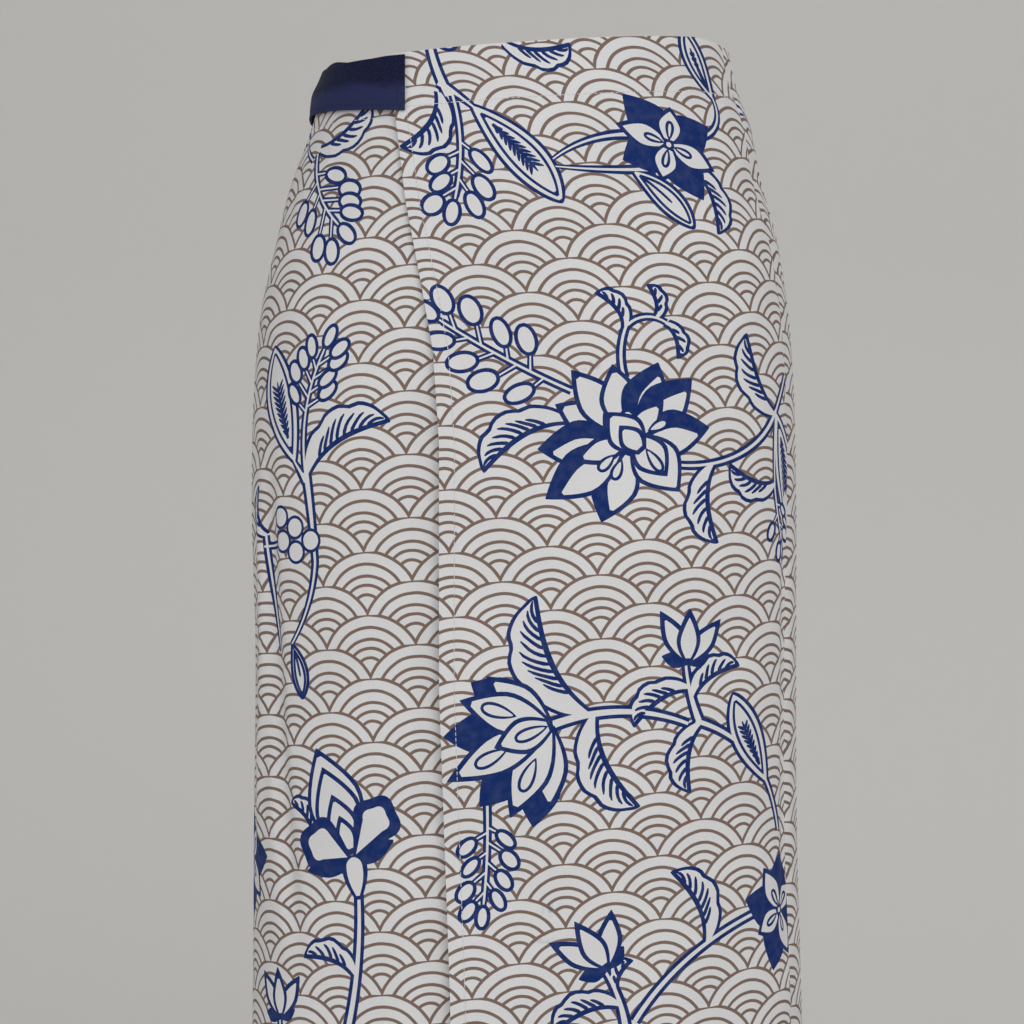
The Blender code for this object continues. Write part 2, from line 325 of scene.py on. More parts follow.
def fold_height(s, z):
    """How far the folds lift the cloth from the form."""
    total = np.zeros(len(s))
    for s_top, s_mid, s_low, z_top, z_low, half_width, height in FOLDS:
        down = (z_top - z) / (z_top - z_low)
        fade = ramp(down, 0, FOLD_FADE)
        if z_low > PAST_HEM:
            fade = fade * (1 - ramp(down, 1 - FOLD_FADE, 1))
        middle = (
            s_top * (1 - down) * (1 - 2 * down)
            + s_mid * 4 * down * (1 - down)
            + s_low * down * (2 * down - 1)
        )
        total += height * fade * bump(wrapped(s - middle), half_width)
    return total


def wrinkle_height(s, z):
    """The small creases, each of which fades out towards its ends."""
    total = np.zeros(len(s))
    for s_start, z_start, s_end, z_end, half_width, height in WRINKLES:
        way = np.array([s_end - s_start, z_end - z_start])
        length = np.hypot(*way)
        along = (wrapped(s - s_start) * way[0] + (z - z_start) * way[1]) / length
        beside = (wrapped(s - s_start) * way[1] - (z - z_start) * way[0]) / length
        total += height * bump(along - length / 2, length / 2) * bump(beside, half_width)
    return total


EDGE_STEPS = np.linspace(0, 1, 201)
EDGE_GIRTHS = np.array([
    girth_at(-lookup(OVER_EDGE, down * LENGTH), OVER_TOP[0, 1] - down * LENGTH)
    for down in EDGE_STEPS
])


def edge_of_over(down):
    """Girth coordinate of the over panel's free edge, down from 0 at the waist to 1."""
    return np.interp(down, EDGE_STEPS, EDGE_GIRTHS)


def hem(s, slope):
    """The height of a hem that climbs with the girth coordinate."""
    return HEM_AT_SEAM + slope * (s - SEAM_RIGHT)


def seam_groove(distance):
    """How far the cloth is pulled in beside a seam."""
    return -SEAM_GROOVE * bump(distance, SEAM_GROOVE_WIDTH)


def back_hem(s):
    """The back's hem, straight between the front panels' hems at the two seams."""
    low_end = hem(SEAM_LEFT, UNDER_HEM_SLOPE)
    return HEM_AT_SEAM + (low_end - HEM_AT_SEAM) * (s - SEAM_RIGHT) / (SEAM_FAR - SEAM_RIGHT)


def run(s, z):
    """Corners of an outline, where s or z may be one value for all."""
    return np.column_stack(np.broadcast_arrays(s, z))


# ---- panels: lift above the form, outline and print coordinates ----
SIDE_POINTS = 250           # corners of an outline up a side
OVER_TOP_POINTS = 75        # along its top
OVER_LOW_POINTS = 60        # along its hem
UNDER_POINTS = 105          # along each
BACK_POINTS = 134
SWING_TOP = 1.2             # the swing stops growing this far up, where 1 is the waist
PRINT_STEP = 1e-4           # metres, to measure how the print coordinates change
PRINT_ROUNDS = 10           # of nearing a place from its print coordinates
NORMAL_STEP = 4e-4          # metres to either side, to measure the cloth's slope


class Panel:
    """A printed panel in the (s, z) plane. Its s may run past the back middle."""

    aside = 0               # whole pitches, so that no two panels have the same small marks

    def __init__(self, lie):
        self.lie = lie

    def print_at(self, s, z):
        """Print coordinates in pitches: across to +X, and down."""
        lie = self.lie
        drop = np.maximum(HIPS - z, 0) / (HIPS - HEM)
        climb = np.tan(np.radians(lie.hip_tilt + (lie.hem_tilt - lie.hip_tilt) * drop))
        lean = math.tan(math.radians(lie.hip_lean)) * (z - lie.z)
        lean = lean + math.radians(lie.hip_lean - lie.hem_lean) * (HIPS - HEM) / 2 * drop ** 2
        swung = lie.swing * np.clip((z - HIPS) / -HIPS, 0, SWING_TOP) ** 2
        across = s - lie.s
        u = PER_METRE * (girth_share(z) * across + lean) + swung
        v = PER_METRE * (lie.z - z + climb * across)
        return np.stack([u, v], axis=1)

    def place_of(self, flat):
        """Panel coordinates (s, z) of points of the print, given in pitches."""
        s = self.lie.s + flat[:, 0] / PER_METRE
        z = self.lie.z - flat[:, 1] / PER_METRE
        for _ in range(PRINT_ROUNDS):
            here = self.print_at(s, z)
            by_s = (self.print_at(s + PRINT_STEP, z) - here) / PRINT_STEP
            by_z = (self.print_at(s, z + PRINT_STEP) - here) / PRINT_STEP
            short = flat - here
            area = by_s[:, 0] * by_z[:, 1] - by_s[:, 1] * by_z[:, 0]
            s = s + (short[:, 0] * by_z[:, 1] - short[:, 1] * by_z[:, 0]) / area
            z = z + (by_s[:, 0] * short[:, 1] - by_s[:, 1] * short[:, 0]) / area
        return np.stack([s, z], axis=1)

    def surface(self, s, z):
        """The cloth's outer face."""
        place, out = on_form(s, z)
        raised = self.lift(s, z) + fold_height(wrapped(s), z) + wrinkle_height(wrapped(s), z)
        place = place + out * raised[:, None]
        return np.column_stack([place, z])

    def surface_and_normal(self, s, z):
        """The outer face and its outward directions."""
        across = self.surface(s + NORMAL_STEP, z) - self.surface(s - NORMAL_STEP, z)
        up = self.surface(s, z + NORMAL_STEP) - self.surface(s, z - NORMAL_STEP)
        normal = np.cross(across, up)
        return self.surface(s, z), normal / np.linalg.norm(normal, axis=1, keepdims=True)


class OverFront(Panel):
    """It lies on the under panel, with its free edge a little lifted."""

    def down(self, s, z):
        top = lookup(OVER_TOP, s)
        return np.clip((top - z) / (top - hem(s, OVER_HEM_SLOPE)), 0, 1)

    def lift(self, s, z):
        left = edge_of_over(self.down(s, z))
        lift = OVER_LIFT * (1 - ramp(s, OVER_SETTLED, SEAM_RIGHT))
        lift = lift + OVER_LIP * (1 - ramp(s, left, left + OVER_LIP_WIDTH))
        return lift + seam_groove(s - SEAM_RIGHT)

    def outline(self):
        down = np.linspace(0, 1, SIDE_POINTS)
        left = edge_of_over(down)
        right = SEAM_RIGHT - SEAM_JOIN
        top_left = lookup(OVER_TOP, left)
        low = np.linspace(left[-1], right, OVER_LOW_POINTS)[1:]
        top = np.linspace(right, left[0], OVER_TOP_POINTS)[:-1]
        seam = np.linspace(hem(right, OVER_HEM_SLOPE), OVER_TOP[-1, 1], SIDE_POINTS)[1:-1]
        return np.concatenate([
            run(left, top_left + (hem(left, OVER_HEM_SLOPE) - top_left) * down),
            run(low, hem(low, OVER_HEM_SLOPE)),
            run(right, seam),
            run(top, lookup(OVER_TOP, top)),
        ])


class UnderFront(Panel):
    """It runs on under the over panel, a little lower than the form."""

    aside = 6

    def low(self, s):
        edge = edge_of_over(np.ones(1))
        return hem(s, UNDER_HEM_SLOPE) + UNDER_HEM_RISE * ramp(s, edge - UNDER_DIP_WIDTH, edge)

    def down(self, s, z):
        top = lookup(UNDER_TOP, s)
        return np.clip((top - z) / (top - self.low(s)), 0, 1)

    def lift(self, s, z):
        down = self.down(s, z)
        edge = edge_of_over(down)
        beside = bump(s - edge + UNDER_TROUGH_BESIDE, UNDER_TROUGH_WIDTH)
        begun = ramp(down, UNDER_TROUGH_START, UNDER_TROUGH_FULL)
        lift = -UNDER_DIP * ramp(s, edge - UNDER_DIP_WIDTH, edge)
        return lift - UNDER_TROUGH_DEPTH * beside * begun + seam_groove(s - SEAM_LEFT)

    def outline(self):
        left = SEAM_LEFT + SEAM_JOIN
        low = np.linspace(left, UNDER_END, UNDER_POINTS)
        low_z, top_z = self.low(low), lookup(UNDER_TOP, low)
        return np.concatenate([
            run(low, low_z),
            run(UNDER_END, np.linspace(low_z[-1], top_z[-1], SIDE_POINTS)[1:-1]),
            run(low, top_z)[::-1],
            run(left, np.linspace(top_z[0], low_z[0], SIDE_POINTS)[1:-1]),
        ])


class Back(Panel):
    """It goes round the back, from one side seam to the other."""

    aside = 12

    def lift(self, s, z):
        return seam_groove(s - SEAM_RIGHT) + seam_groove(s - SEAM_FAR) + 0 * z

    def outline(self):
        start = SEAM_RIGHT + SEAM_JOIN
        end = SEAM_FAR - SEAM_JOIN
        low_end = hem(SEAM_LEFT, UNDER_HEM_SLOPE)
        low = np.linspace(start, end, BACK_POINTS)
        top_z = lookup(BACK_TOP, low - SEAM_RIGHT)
        return np.concatenate([
            run(low, np.linspace(HEM_AT_SEAM, low_end, BACK_POINTS)),
            run(end, np.linspace(low_end, top_z[-1], SIDE_POINTS)[1:-1]),
            run(low, top_z)[::-1],
            run(start, np.linspace(top_z[0], HEM_AT_SEAM, SIDE_POINTS)[1:-1]),
        ])


# ---- the blue drawing ----
# Widths and lengths are in millimetres of the print. A share is of the whole leaf or petal.
LINE = 2.5                  # width of the drawn outlines
THIN_LINE = 2.0             # of drops, dots and grapes
HATCH_LINE = 1.8            # of the strokes in leaves
INNER_LINE = 0.85 * LINE    # of a double leaf's inner outline
THINNEST = 0.25             # a ribbon is drawn where it is wider than this
LINE_SPACING = 3.0          # between a line's points
SWEEP_STEP = 5              # between the turns of a path
RING_POINTS = 18
PETAL_POINTS = 22
RIM_POINTS = 32
STEM_INK = 0.72             # share of a stem's half width that its outline takes at most
STROKE_ENDS = (0.6, 0.5)    # what is left of a stroke's width at its foot and its end
STALK = (4.4, 3.6)          # a berry's stalk, at its foot and its end
STALK_REACH = 0.12          # share of the berry that it reaches into
DROP_CURVE = (2.49, 0.9)    # brings its widest place to 1, and how slowly it widens
LEAST_FILL = 0.1            # share of a ring that is left white at least
PETAL_FOOT = 0.25           # share of a petal's width at its foot
POINTED = 1.5               # how late a petal narrows
BLUNT = 4.0
PETAL_LINE = (0.9, 0.6)     # its outline's width in LINEs at the foot, and what the tip adds
DARK_SPREAD = 0.4           # how evenly a dark edge spreads: 0 is even
RIM_TURN = 118              # degrees that a lobed rim turns to each side
LOBES = (0.08, 4.4, 0.6)    # their height as a share, how close they stand, where they start
LOBE_FOOT = 0.6             # share of the rim's width at a lobed petal's foot
LEAF_BELLY = 0.56           # how far along a leaf it is widest
LEAF_SPACING = 1.8
LEAF_POINTS = (20, 44)
LEAF_FULLNESS = 0.65        # less is fuller
LEAF_FOOT = 3.8             # half width of a hatched leaf's open foot
DOUBLE_FOOT = 1.0           # and of a double leaf's
FOOT_FADE = 5               # how soon the foot's width is gone
WAVES = (0.13, 3.2, 1.2, 5)     # a wavy edge's depth, how many, their drift and sharpness
TIP_LINE = 0.2              # what the tip adds to a leaf's outline, as a share
RIM_SWELL = 0.014           # what the middle adds on the smooth side, as a share of the length
VEIN_GAP = 5.4              # from a double leaf's edge to its inner outline, at most
VEIN_SHARE = 0.36           # and as a share of its half width
STROKE_POINTS = 6
STROKES_FROM = 0.20         # where the first stroke starts, as a share
STROKES_OVER = 0.66         # the stretch over which they start
STROKE_SPAN = 0.17
STROKE_REACH = (0.66, 0.25, 0.8)    # the longest one's, the loss, its place from 0 to 2
STROKE_CURL = (1.3, 0.8)    # how it bends where it leaves the rim and beyond the leaf's line
STROKE_WEIGHT = 1.5         # a stroke's width at its foot, in HATCH_LINEs
RIB_POINTS = 12
BARBED_RIB = (0.22, 0.70, 2.0)  # from, to, and its width at the foot in HATCH_LINEs
BARE_RIB = (0.16, 0.60, 1.2)
BARBS_FROM = 0.08
BARBS_OVER = 0.84
BARB_REACH = 0.72           # share of the room beside the rib
BARB_LEAN = (0.9, 1.0)      # how far a barb leans ahead: share of its reach, and millimetres
BARB_WEIGHT = 1.6
BODIES, FILLS, STROKES, INNER, FEATHERS, FLOWERS = range(6)


def round_steps(count):
    """Places from 0 to 1 that stand closer near both ends."""
    return (1 - np.cos(np.linspace(0, math.pi, count))) / 2


def sides_of(line):
    """A line's directions to its left, as the print is seen, with y down."""
    along = np.gradient(line, axis=0)
    along /= np.linalg.norm(along, axis=1, keepdims=True) + 1e-9
    return np.column_stack([along[:, 1], -along[:, 0]])


def bowed(base, tip, bend, t):
    """Points from base to tip on a line that bows by bend to its left."""
    base, tip = np.array(base, float), np.array(tip, float)
    way = tip - base
    left = np.array([way[1], -way[0]]) / np.hypot(*way)
    return base + np.outer(t, way) + np.outer(4 * t * (1 - t) * bend, left)


def through(points):
    """A smooth line through a few points."""
    points = np.array(points, float)
    steps = running(np.hypot(*np.diff(points, axis=0).T))
    at = np.linspace(0, steps[-1], max(4, int(steps[-1] / LINE_SPACING)))
    if len(points) == 2:
        return along_line(at, steps, points)
    return np.column_stack([smooth(steps, axis, at) for axis in points.T])


def off(place, turn, reach):
    """A point some way from a place. turn is in degrees clockwise from straight up."""
    angle = math.radians(turn)
    return np.array(place, float) + reach * np.array([math.sin(angle), -math.cos(angle)])


def sweep(foot, turn, length, curl=0.0):
    """A path from a foot, whose heading changes by curl degrees on the way."""
    count = max(6, round(length / SWEEP_STEP))
    headings = np.radians(turn + curl * (np.arange(count) + 0.5) / count)
    moves = length / count * np.column_stack([np.sin(headings), -np.cos(headings)])
    return np.concatenate([[foot], foot + np.cumsum(moves, axis=0)])


def station(path, share):
    """The place a share of the way along a path, and the heading there."""
    line = through(path)
    k = int(round(share * (len(line) - 1)))
    way = line[min(k + 1, len(line) - 1)] - line[max(k - 1, 0)]
    return line[k], math.degrees(math.atan2(way[0], -way[1]))


class Ink:
    """Shapes of the blue print in millimetres, x across to +X and y down."""

    def __init__(self):
        self.shapes = []
        self.flower = FLOWERS
        self.place((0, 0))

    def place(self, origin, turn=0.0, mirror=False):
        """What is drawn next is turned clockwise by degrees, and mirrored if asked, at origin."""
        angle = math.radians(turn)
        flip = -1 if mirror else 1
        self.origin = np.array(origin, float)
        self.turned = np.array([
            (flip * math.cos(angle), flip * math.sin(angle)),
            (-math.sin(angle), math.cos(angle)),
        ])

    def shape(self, depth, ink, points):
        self.shapes.append((depth, ink, points @ self.turned + self.origin))

    def ribbon(self, depth, ink, line, left, right):
        """A band along a line, which reaches left and right of it."""
        wide = left + right > THINNEST
        if wide.sum() < 3:
            return
        first = np.argmax(wide)
        last = len(wide) - np.argmax(wide[::-1])
        sides = sides_of(line)[first:last]
        line, left, right = line[first:last], left[first:last], right[first:last]
        self.shape(depth, ink, np.concatenate([
            line + sides * left[:, None], (line - sides * right[:, None])[::-1]
        ]))

    def stem(self, points, width, end_width=None):
        line = through(points)
        half = np.linspace(width, end_width or width, len(line)) / 2
        self.ribbon(BODIES, NAVY, line, half, half)
        inner = half - np.minimum(LINE, STEM_INK * half)
        self.ribbon(FILLS, RESERVED, line, inner, inner)

    def stroke(self, depth, line, weight):
        """A stroke that narrows from so many HATCH_LINEs to one."""
        half = np.linspace(HATCH_LINE * weight, HATCH_LINE, len(line)) / 2
        half[[0, -1]] *= STROKE_ENDS
        self.ribbon(depth, NAVY, line, half, half)

    def ring(self, base, tip, half, outline):
        """A closed form with a navy outline, over what is there. half gives its half width."""
        self.flower += 2
        t = round_steps(RING_POINTS)
        self.ribbon(self.flower, NAVY, bowed(base, tip, 0, t), half(t), half(t))
        trim = outline / math.dist(base, tip)
        inner = bowed(base, tip, 0, trim + (1 - 2 * trim) * t)
        scale = max(1 - outline / max(half(t)), LEAST_FILL)
        self.ribbon(self.flower + 1, RESERVED, inner, half(t) * scale, half(t) * scale)

    def oval(self, near, far, width, outline=THIN_LINE):
        self.ring(near, far, lambda t: width / 2 * np.sqrt(1 - (2 * t - 1) ** 2), outline)

    def berry(self, root, near, far, width):
        root, near, far = np.array(root), np.array(near), np.array(far)
        self.stem([root, near + STALK_REACH * (far - near)], *STALK)
        self.oval(near, far, width, LINE)

    def drop(self, base, far, width):
        """A loop, pointed at its base."""
        full, rise = DROP_CURVE
        self.ring(base, far, lambda t: width / 2 * full * t ** rise * np.sqrt(1 - t), THIN_LINE)

    def petal(self, base, tip, width, belly=0.5, dark=(0, 0), solid=False, blunt=False):
        """A pointed or blunt petal. dark thickens its outline to the left and right."""
        t = round_steps(PETAL_POINTS)
        line = bowed(base, tip, 0, t)
        rise = PETAL_FOOT + (1 - PETAL_FOOT) * np.sin(math.pi / 2 * np.clip(t / belly, 0, 1))
        fall = 1 - np.clip((t - belly) / (1 - belly), 0, 1) ** (BLUNT if blunt else POINTED)
        half = width / 2 * rise * fall
        self.flower += 2
        self.ribbon(self.flower, NAVY, line, half, half)
        if solid:
            return
        at_foot, growth = PETAL_LINE
        inner = half - LINE * (at_foot + growth * t)
        left, right = (inner - side * np.sin(math.pi * t) ** DARK_SPREAD for side in dark)
        foot = t * math.dist(base, tip) < LINE
        left[foot] = right[foot] = -1
        self.ribbon(self.flower + 1, RESERVED, line, left, right)

    def lobed_petal(self, base, turn, length, width, rim):
        """A petal that widens to a dark, lobed rim."""
        self.flower += 2
        round_top = np.radians(np.linspace(-RIM_TURN, RIM_TURN, RIM_POINTS))
        middle = off(base, turn, length - width / 2)
        angles = round_top + math.radians(turn)
        height, rate, start = LOBES
        for depth, colour, narrower in ((0, NAVY, 0.0), (1, RESERVED, rim)):
            reach = (width / 2 - narrower) * (1 + height * np.cos(rate * round_top + start))
            top = middle + reach[:, None] * np.column_stack([np.sin(angles), -np.cos(angles)])
            foot = off(base, turn, LOBE_FOOT * narrower)
            self.shape(self.flower + depth, colour, np.concatenate([[foot], top]))

    def leaf(self, base, tip, left, right, marks, bend=0.0, hatch=None):
        """A leaf, open towards its base. hatch names its smooth side, where strokes start.

        Without hatch it is outlined twice and has a rib. marks counts the strokes or barbs.
        """
        length = math.dist(base, tip)
        t = round_steps(int(np.clip(length / LEAF_SPACING, *LEAF_POINTS)))
        line = bowed(base, tip, bend, t)
        body = np.sin(math.pi * t ** (math.log(0.5) / math.log(LEAF_BELLY))) ** LEAF_FULLNESS
        foot = (LEAF_FOOT if hatch else DOUBLE_FOOT) * (1 - t) ** FOOT_FADE
        sides = {"left": left * body + foot, "right": right * body + foot}
        outline = {side: LINE * (1 + TIP_LINE * t ** 3) for side in sides}
        if hatch:
            wavy = "right" if hatch == "left" else "left"
            depth, rate, drift, sharpness = WAVES
            waves = np.abs(np.cos(rate * math.pi * t ** drift)) ** sharpness
            sides[wavy] = sides[wavy] * (1 - depth * waves)
            outline[hatch] = outline[hatch] + RIM_SWELL * length * np.sin(math.pi * t) ** 2
        self.ribbon(BODIES, NAVY, line, sides["left"], sides["right"])
        self.ribbon(FILLS, RESERVED, line, *(sides[side] - outline[side] for side in sides))
        if hatch:
            self.hatching(line, t, sides, (hatch, wavy), marks)
            return
        gap = min(VEIN_GAP, VEIN_SHARE * max(left, right))
        for depth, ink, inset in ((STROKES, NAVY, gap), (INNER, RESERVED, gap + INNER_LINE)):
            self.ribbon(depth, ink, line, sides["left"] - inset, sides["right"] - inset)
        self.rib(line, t, sides, marks)

    def hatching(self, line, t, sides, rims, strokes):
        """Strokes from the smooth rim, which lean towards the tip and curl. rims: from, to."""
        hatch, wavy = rims
        sign = 1 if hatch == "left" else -1
        longest, loss, its_place = STROKE_REACH
        steps = np.linspace(0, 1, STROKE_POINTS)
        across = sides_of(line)
        for k in range(strokes):
            start = STROKES_FROM + STROKES_OVER * k / strokes
            end = start + STROKE_SPAN
            at = start + (end - start) * steps
            reach = longest - loss * abs(2 * k / strokes - its_place)
            rim = np.interp(at, t, sides[hatch]) - LINE / 2
            far = np.interp(at, t, sides[wavy]) * reach
            offset = sign * (rim * (1 - steps) ** STROKE_CURL[0] - far * steps ** STROKE_CURL[1])
            curled = along_line(at, t, line) + along_line(at, t, across) * offset[:, None]
            self.stroke(STROKES, curled, STROKE_WEIGHT)

    def rib(self, line, t, sides, barbs):
        """A midrib, with any barbs on both sides, which lean towards the tip."""
        low, high, weight = BARBED_RIB if barbs else BARE_RIB
        spine = np.linspace(low, high, RIB_POINTS)
        shift = np.interp(spine, t, (sides["left"] - sides["right"]) / 2)
        out = along_line(spine, t, sides_of(line))
        middle = along_line(spine, t, line) + out * shift[:, None]
        self.stroke(FEATHERS, middle, weight)
        room = np.interp(spine, t, (sides["left"] + sides["right"]) / 2) - VEIN_GAP - LINE
        way = middle[-1] - middle[0]
        way /= np.hypot(*way)
        outward = np.array([way[1], -way[0]])
        shares = np.linspace(0, 1, RIB_POINTS)
        for k in range(barbs):
            at = BARBS_FROM + BARBS_OVER * k / barbs
            foot = along_line([at], shares, middle)[0]
            reach = BARB_REACH * np.interp(at, shares, room)
            ahead = way * (reach * BARB_LEAN[0] + BARB_LEAN[1])
            for side in (-1, 1):
                tip = foot + outward * side * reach + ahead
                self.stroke(FEATHERS, through([foot, tip]), BARB_WEIGHT)

    def drawing(self):
        """The shapes in painter's order."""
        return [(ink, points) for _, ink, points in sorted(self.shapes, key=lambda shape: shape[0])]


# ---- leaves, sprays and flowers, each grown from a foot towards a heading ----
HOOKED_WIDE = (4.5, 0.23)   # a hooked leaf's belly: millimetres, and a share of its length
HOOKED_NARROW = 0.05
HOOKED_BEND = 0.13
HOOKED_STROKE = 8           # millimetres of leaf to a stroke
FERN_WIDE = 0.23
FERN_NARROW = 0.17
FERN_BARB = 9
PLAIN_WIDE = 0.21
PLAIN_BEND = 0.05
SPRAY_STEM = (6.0, 5.0)
SPRAY_END = 0.90            # share of the way at which the last pair stands
SPRAY_LEAN = (80, 42)       # degrees that berries lean away at the foot, and less at the end
SPRAY_FOLLOW = 0.7          # share of that lean which the berries add to their stalks'
STALK_LENGTHS = (0.34, 0.46, 0.58)      # by turns, in berries
BERRY_WIDTHS = (0.62, 0.67, 0.72)       # the same
END_STALK = 0.1             # of the berry at the spray's end, in berries
END_WIDTH = 0.62


def bellied(wide, narrow, side):
    """The half widths to the left and right, of which side 1 bellies to the left."""
    return (wide, narrow) if side > 0 else (narrow, wide)


def hooked(ink, foot, turn, length, side=1):
    """Hatched along its hollow edge, wavy along the other."""
    halves = bellied(HOOKED_WIDE[0] + HOOKED_WIDE[1] * length, HOOKED_NARROW * length, side)
    ink.leaf(foot, off(foot, turn, length), *halves, marks=max(3, round(length / HOOKED_STROKE)),
             bend=HOOKED_BEND * length * side, hatch="right" if side > 0 else "left")


def fern(ink, foot, turn, length, side=1):
    """Twice outlined, with a barbed rib."""
    halves = bellied(FERN_WIDE * length, FERN_NARROW * length, side)
    ink.leaf(foot, off(foot, turn, length), *halves, marks=max(3, round(length / FERN_BARB)))


def plain(ink, foot, turn, length, side=1):
    """Twice outlined, with a bare rib."""
    wide = PLAIN_WIDE * length
    ink.leaf(foot, off(foot, turn, length), wide, wide, marks=0, bend=PLAIN_BEND * length * side)


def branch(ink, path, width, end_width, leaves=()):
    """leaves: how far along each grows, its heading, its length, side and kind."""
    ink.stem(path, width, end_width)
    for share, turn, length, side, kind in leaves:
        kind(ink, station(path, share)[0], turn, length, side)


def berry_spray(ink, path, pairs, berry=20.0, first=0.26, stalk=1.0):
    """Berries on short stalks, in staggered pairs that close in towards the end."""
    ink.stem(path, *SPRAY_STEM)
    for k in range(2 * pairs):
        share = first + (SPRAY_END - first) * k / (2 * pairs - 1)
        side = 1 if k % 2 else -1
        foot, turn = station(path, share)
        lean = side * (SPRAY_LEAN[0] - SPRAY_LEAN[1] * share)
        near = off(foot, turn + lean, STALK_LENGTHS[k % 3] * berry * stalk)
        far = off(near, turn + SPRAY_FOLLOW * lean, berry)
        ink.berry(foot, near, far, BERRY_WIDTHS[k % 3] * berry)
    foot, turn = station(path, 1.0)
    near = off(foot, turn, END_STALK * berry)
    ink.berry(foot, near, off(near, turn, berry), END_WIDTH * berry)


def fan(ink, petals, width, heart=(0, 0), start=0.0, **look):
    """Petals that spread from a heart. petals: the heading and reach of each."""
    for turn, reach in petals:
        ink.petal(off(heart, turn, start * reach), off(heart, turn, reach), width, **look)


def bud(ink, foot, turn, size):
    """Two solid sepals, two petals behind and one before them."""
    sepals = (turn - 75, 0.52 * size), (turn + 72, 0.46 * size)
    fan(ink, sepals, 0.30 * size, foot, solid=True)
    fan(ink, ((turn - 30, 1.1 * size), (turn + 38, size)), 0.44 * size, foot)
    fan(ink, ((turn, size),), 0.46 * size, foot, belly=0.42)


# ---- motifs, composed round their own middles ----
def peony(ink):
    """A wide flower, with berries, a leaf and a sprig behind it."""
    berry_spray(ink, sweep((-34, -34), 298, 92, 10), 4, 22, first=0.2)
    hooked(ink, (-38, -16), 240, 62, -1)
    branch(ink, sweep((0, -40), -12, 38, 45), 7, 6, [(0.95, -38, 28, -1, hooked)])
    branch(ink, sweep((6, -74), 50, 28, 80), 6, 5, [
        (0.80, -8, 22, -1, hooked), (1.0, 172, 24, 1, hooked),
    ])
    fan(ink, ((300, 52), (-35, 58), (-8, 50)), 27, start=0.1)
    fan(ink, ((25, 54), (50, 58), (85, 54)), 31, start=0.1, dark=(9, 0))
    fan(ink, ((268, 58), (202, 56), (238, 65)), 32, start=0.1, dark=(0, 9))
    fan(ink, ((320, 24), (0, 22), (45, 34), (252, 38)), 18)
    for turn in (68, 205, 228):
        ink.drop(off((0, 0), turn, 13), off((0, 0), turn, 28), 8)
    for share in (1.0, 0.72):
        ink.petal((4, -2), off((4, -2), 145, 46 * share), 34 * share)
    ink.drop((10, 6), (20, 22), 8)
    for share in (1.0, 0.66):
        ink.petal((8, 8), off((8, 8), -38, 34 * share), 26 * share)


def star_flower(ink):
    """Four white petals over eight solid ones."""
    fan(ink, ((-63, 26), (22, 24), (118, 26), (208, 24)), 24, solid=True)
    fan(ink, ((-28, 40), (72, 36), (160, 40), (256, 36)), 30, solid=True, belly=0.45)
    fan(ink, ((-63, 35), (22, 27), (122, 35), (208, 27)), 20)
    for turn in (-63, 22, 122, 208):
        ink.drop(off((0, 0), turn, 3), off((0, 0), turn, 17), 6)
    ink.oval((-3.75, 0), (3.75, 0), 7.5)


def star_branch(ink):
    """The star flower, with the two stems that come to it and their leaves."""
    ink.stem(sweep((-80, 5), 60, 60, 35), 3, 8)
    branch(ink, sweep((-80, 10), 100, 65, -10), 3, 8, [(0.75, 142, 52, 1, plain)])
    hooked(ink, (15, 15), 178, 45, 1)
    star_flower(ink)
    branch(ink, sweep((28, -5), 80, 36, -85), 7, 4, [(0.9, -2, 52, 1, fern)])


def top_branch(ink):
    """A branch that comes down from the waist and parts into leaves and berries."""
    ink.stem(sweep((10, -46), 200, 54, -25), 7, 10)
    branch(ink, sweep((0, -3), 135, 26, 10), 10, 5, [(0.9, 152, 80, 1, fern)])
    hooked(ink, (-2, 4), 230, 52, 1)
    berry_spray(ink, sweep((6, 4), 186, 74, 22), 3, 20, first=0.46)


def right_branch(ink):
    """A stem that rises to the right, with leaves, and berries hanging from its end."""
    stem = sweep((-6, -2), 100, 94, -60)
    branch(ink, stem, 6, 8, [(0.25, 178, 52, -1, hooked), (0.97, -20, 58, 1, hooked)])
    ink.stem(sweep(stem[-1], 40, 30), 7, 7)
    low = sweep(stem[-1], 192, 52, -12)
    branch(ink, low, 6, 5, [(0.95, 292, 44, 1, hooked)])
    fern(ink, stem[-1], 168, 84)
    berry_spray(ink, sweep(low[-1], 175, 34, -15), 2, 15)


def lily(ink):
    """A flower that opens to the left from the end of its stem, with berries below."""
    branch(ink, sweep((0, 0), 72, 92, 44), 10, 7, [
        (0.28, -20, 84, 1, hooked), (0.30, 156, 68, -1, hooked),
    ])
    berry_spray(ink, sweep((-42, 40), 180, 70, 8), 4, 17, first=0.3)
    fan(ink, ((192, 66), (224, 68), (268, 68), (303, 58)), 28, solid=True, belly=0.65)
    fan(ink, ((183, 56), (312, 52)), 24)
    fan(ink, ((206, 64), (245, 74), (290, 60)), 28)
    for turn, reach in ((206, 46), (245, 54), (290, 46)):
        ink.drop(off((0, 0), turn, reach - 24), off((0, 0), turn, reach), 10)
    ink.petal((2, -1), off((0, 0), 252, 38), 24)
    ink.drop((-1, 0), off((0, 0), 252, 24), 9)


def bud_branch(ink):
    """A bud on a stalk, where a branch bends down to the right."""
    branch(ink, sweep((0, 0), 110, 110, 60), 8, 6, [
        (0.02, 190, 46, -1, hooked), (0.68, -24, 70, 1, fern),
    ])
    branch(ink, sweep((2, 0), -20, 40, 18), 9, 6, [
        (0.60, 238, 44, -1, hooked), (0.42, 66, 40, 1, hooked),
    ])
    bud(ink, (-4, -38), 4, 36)


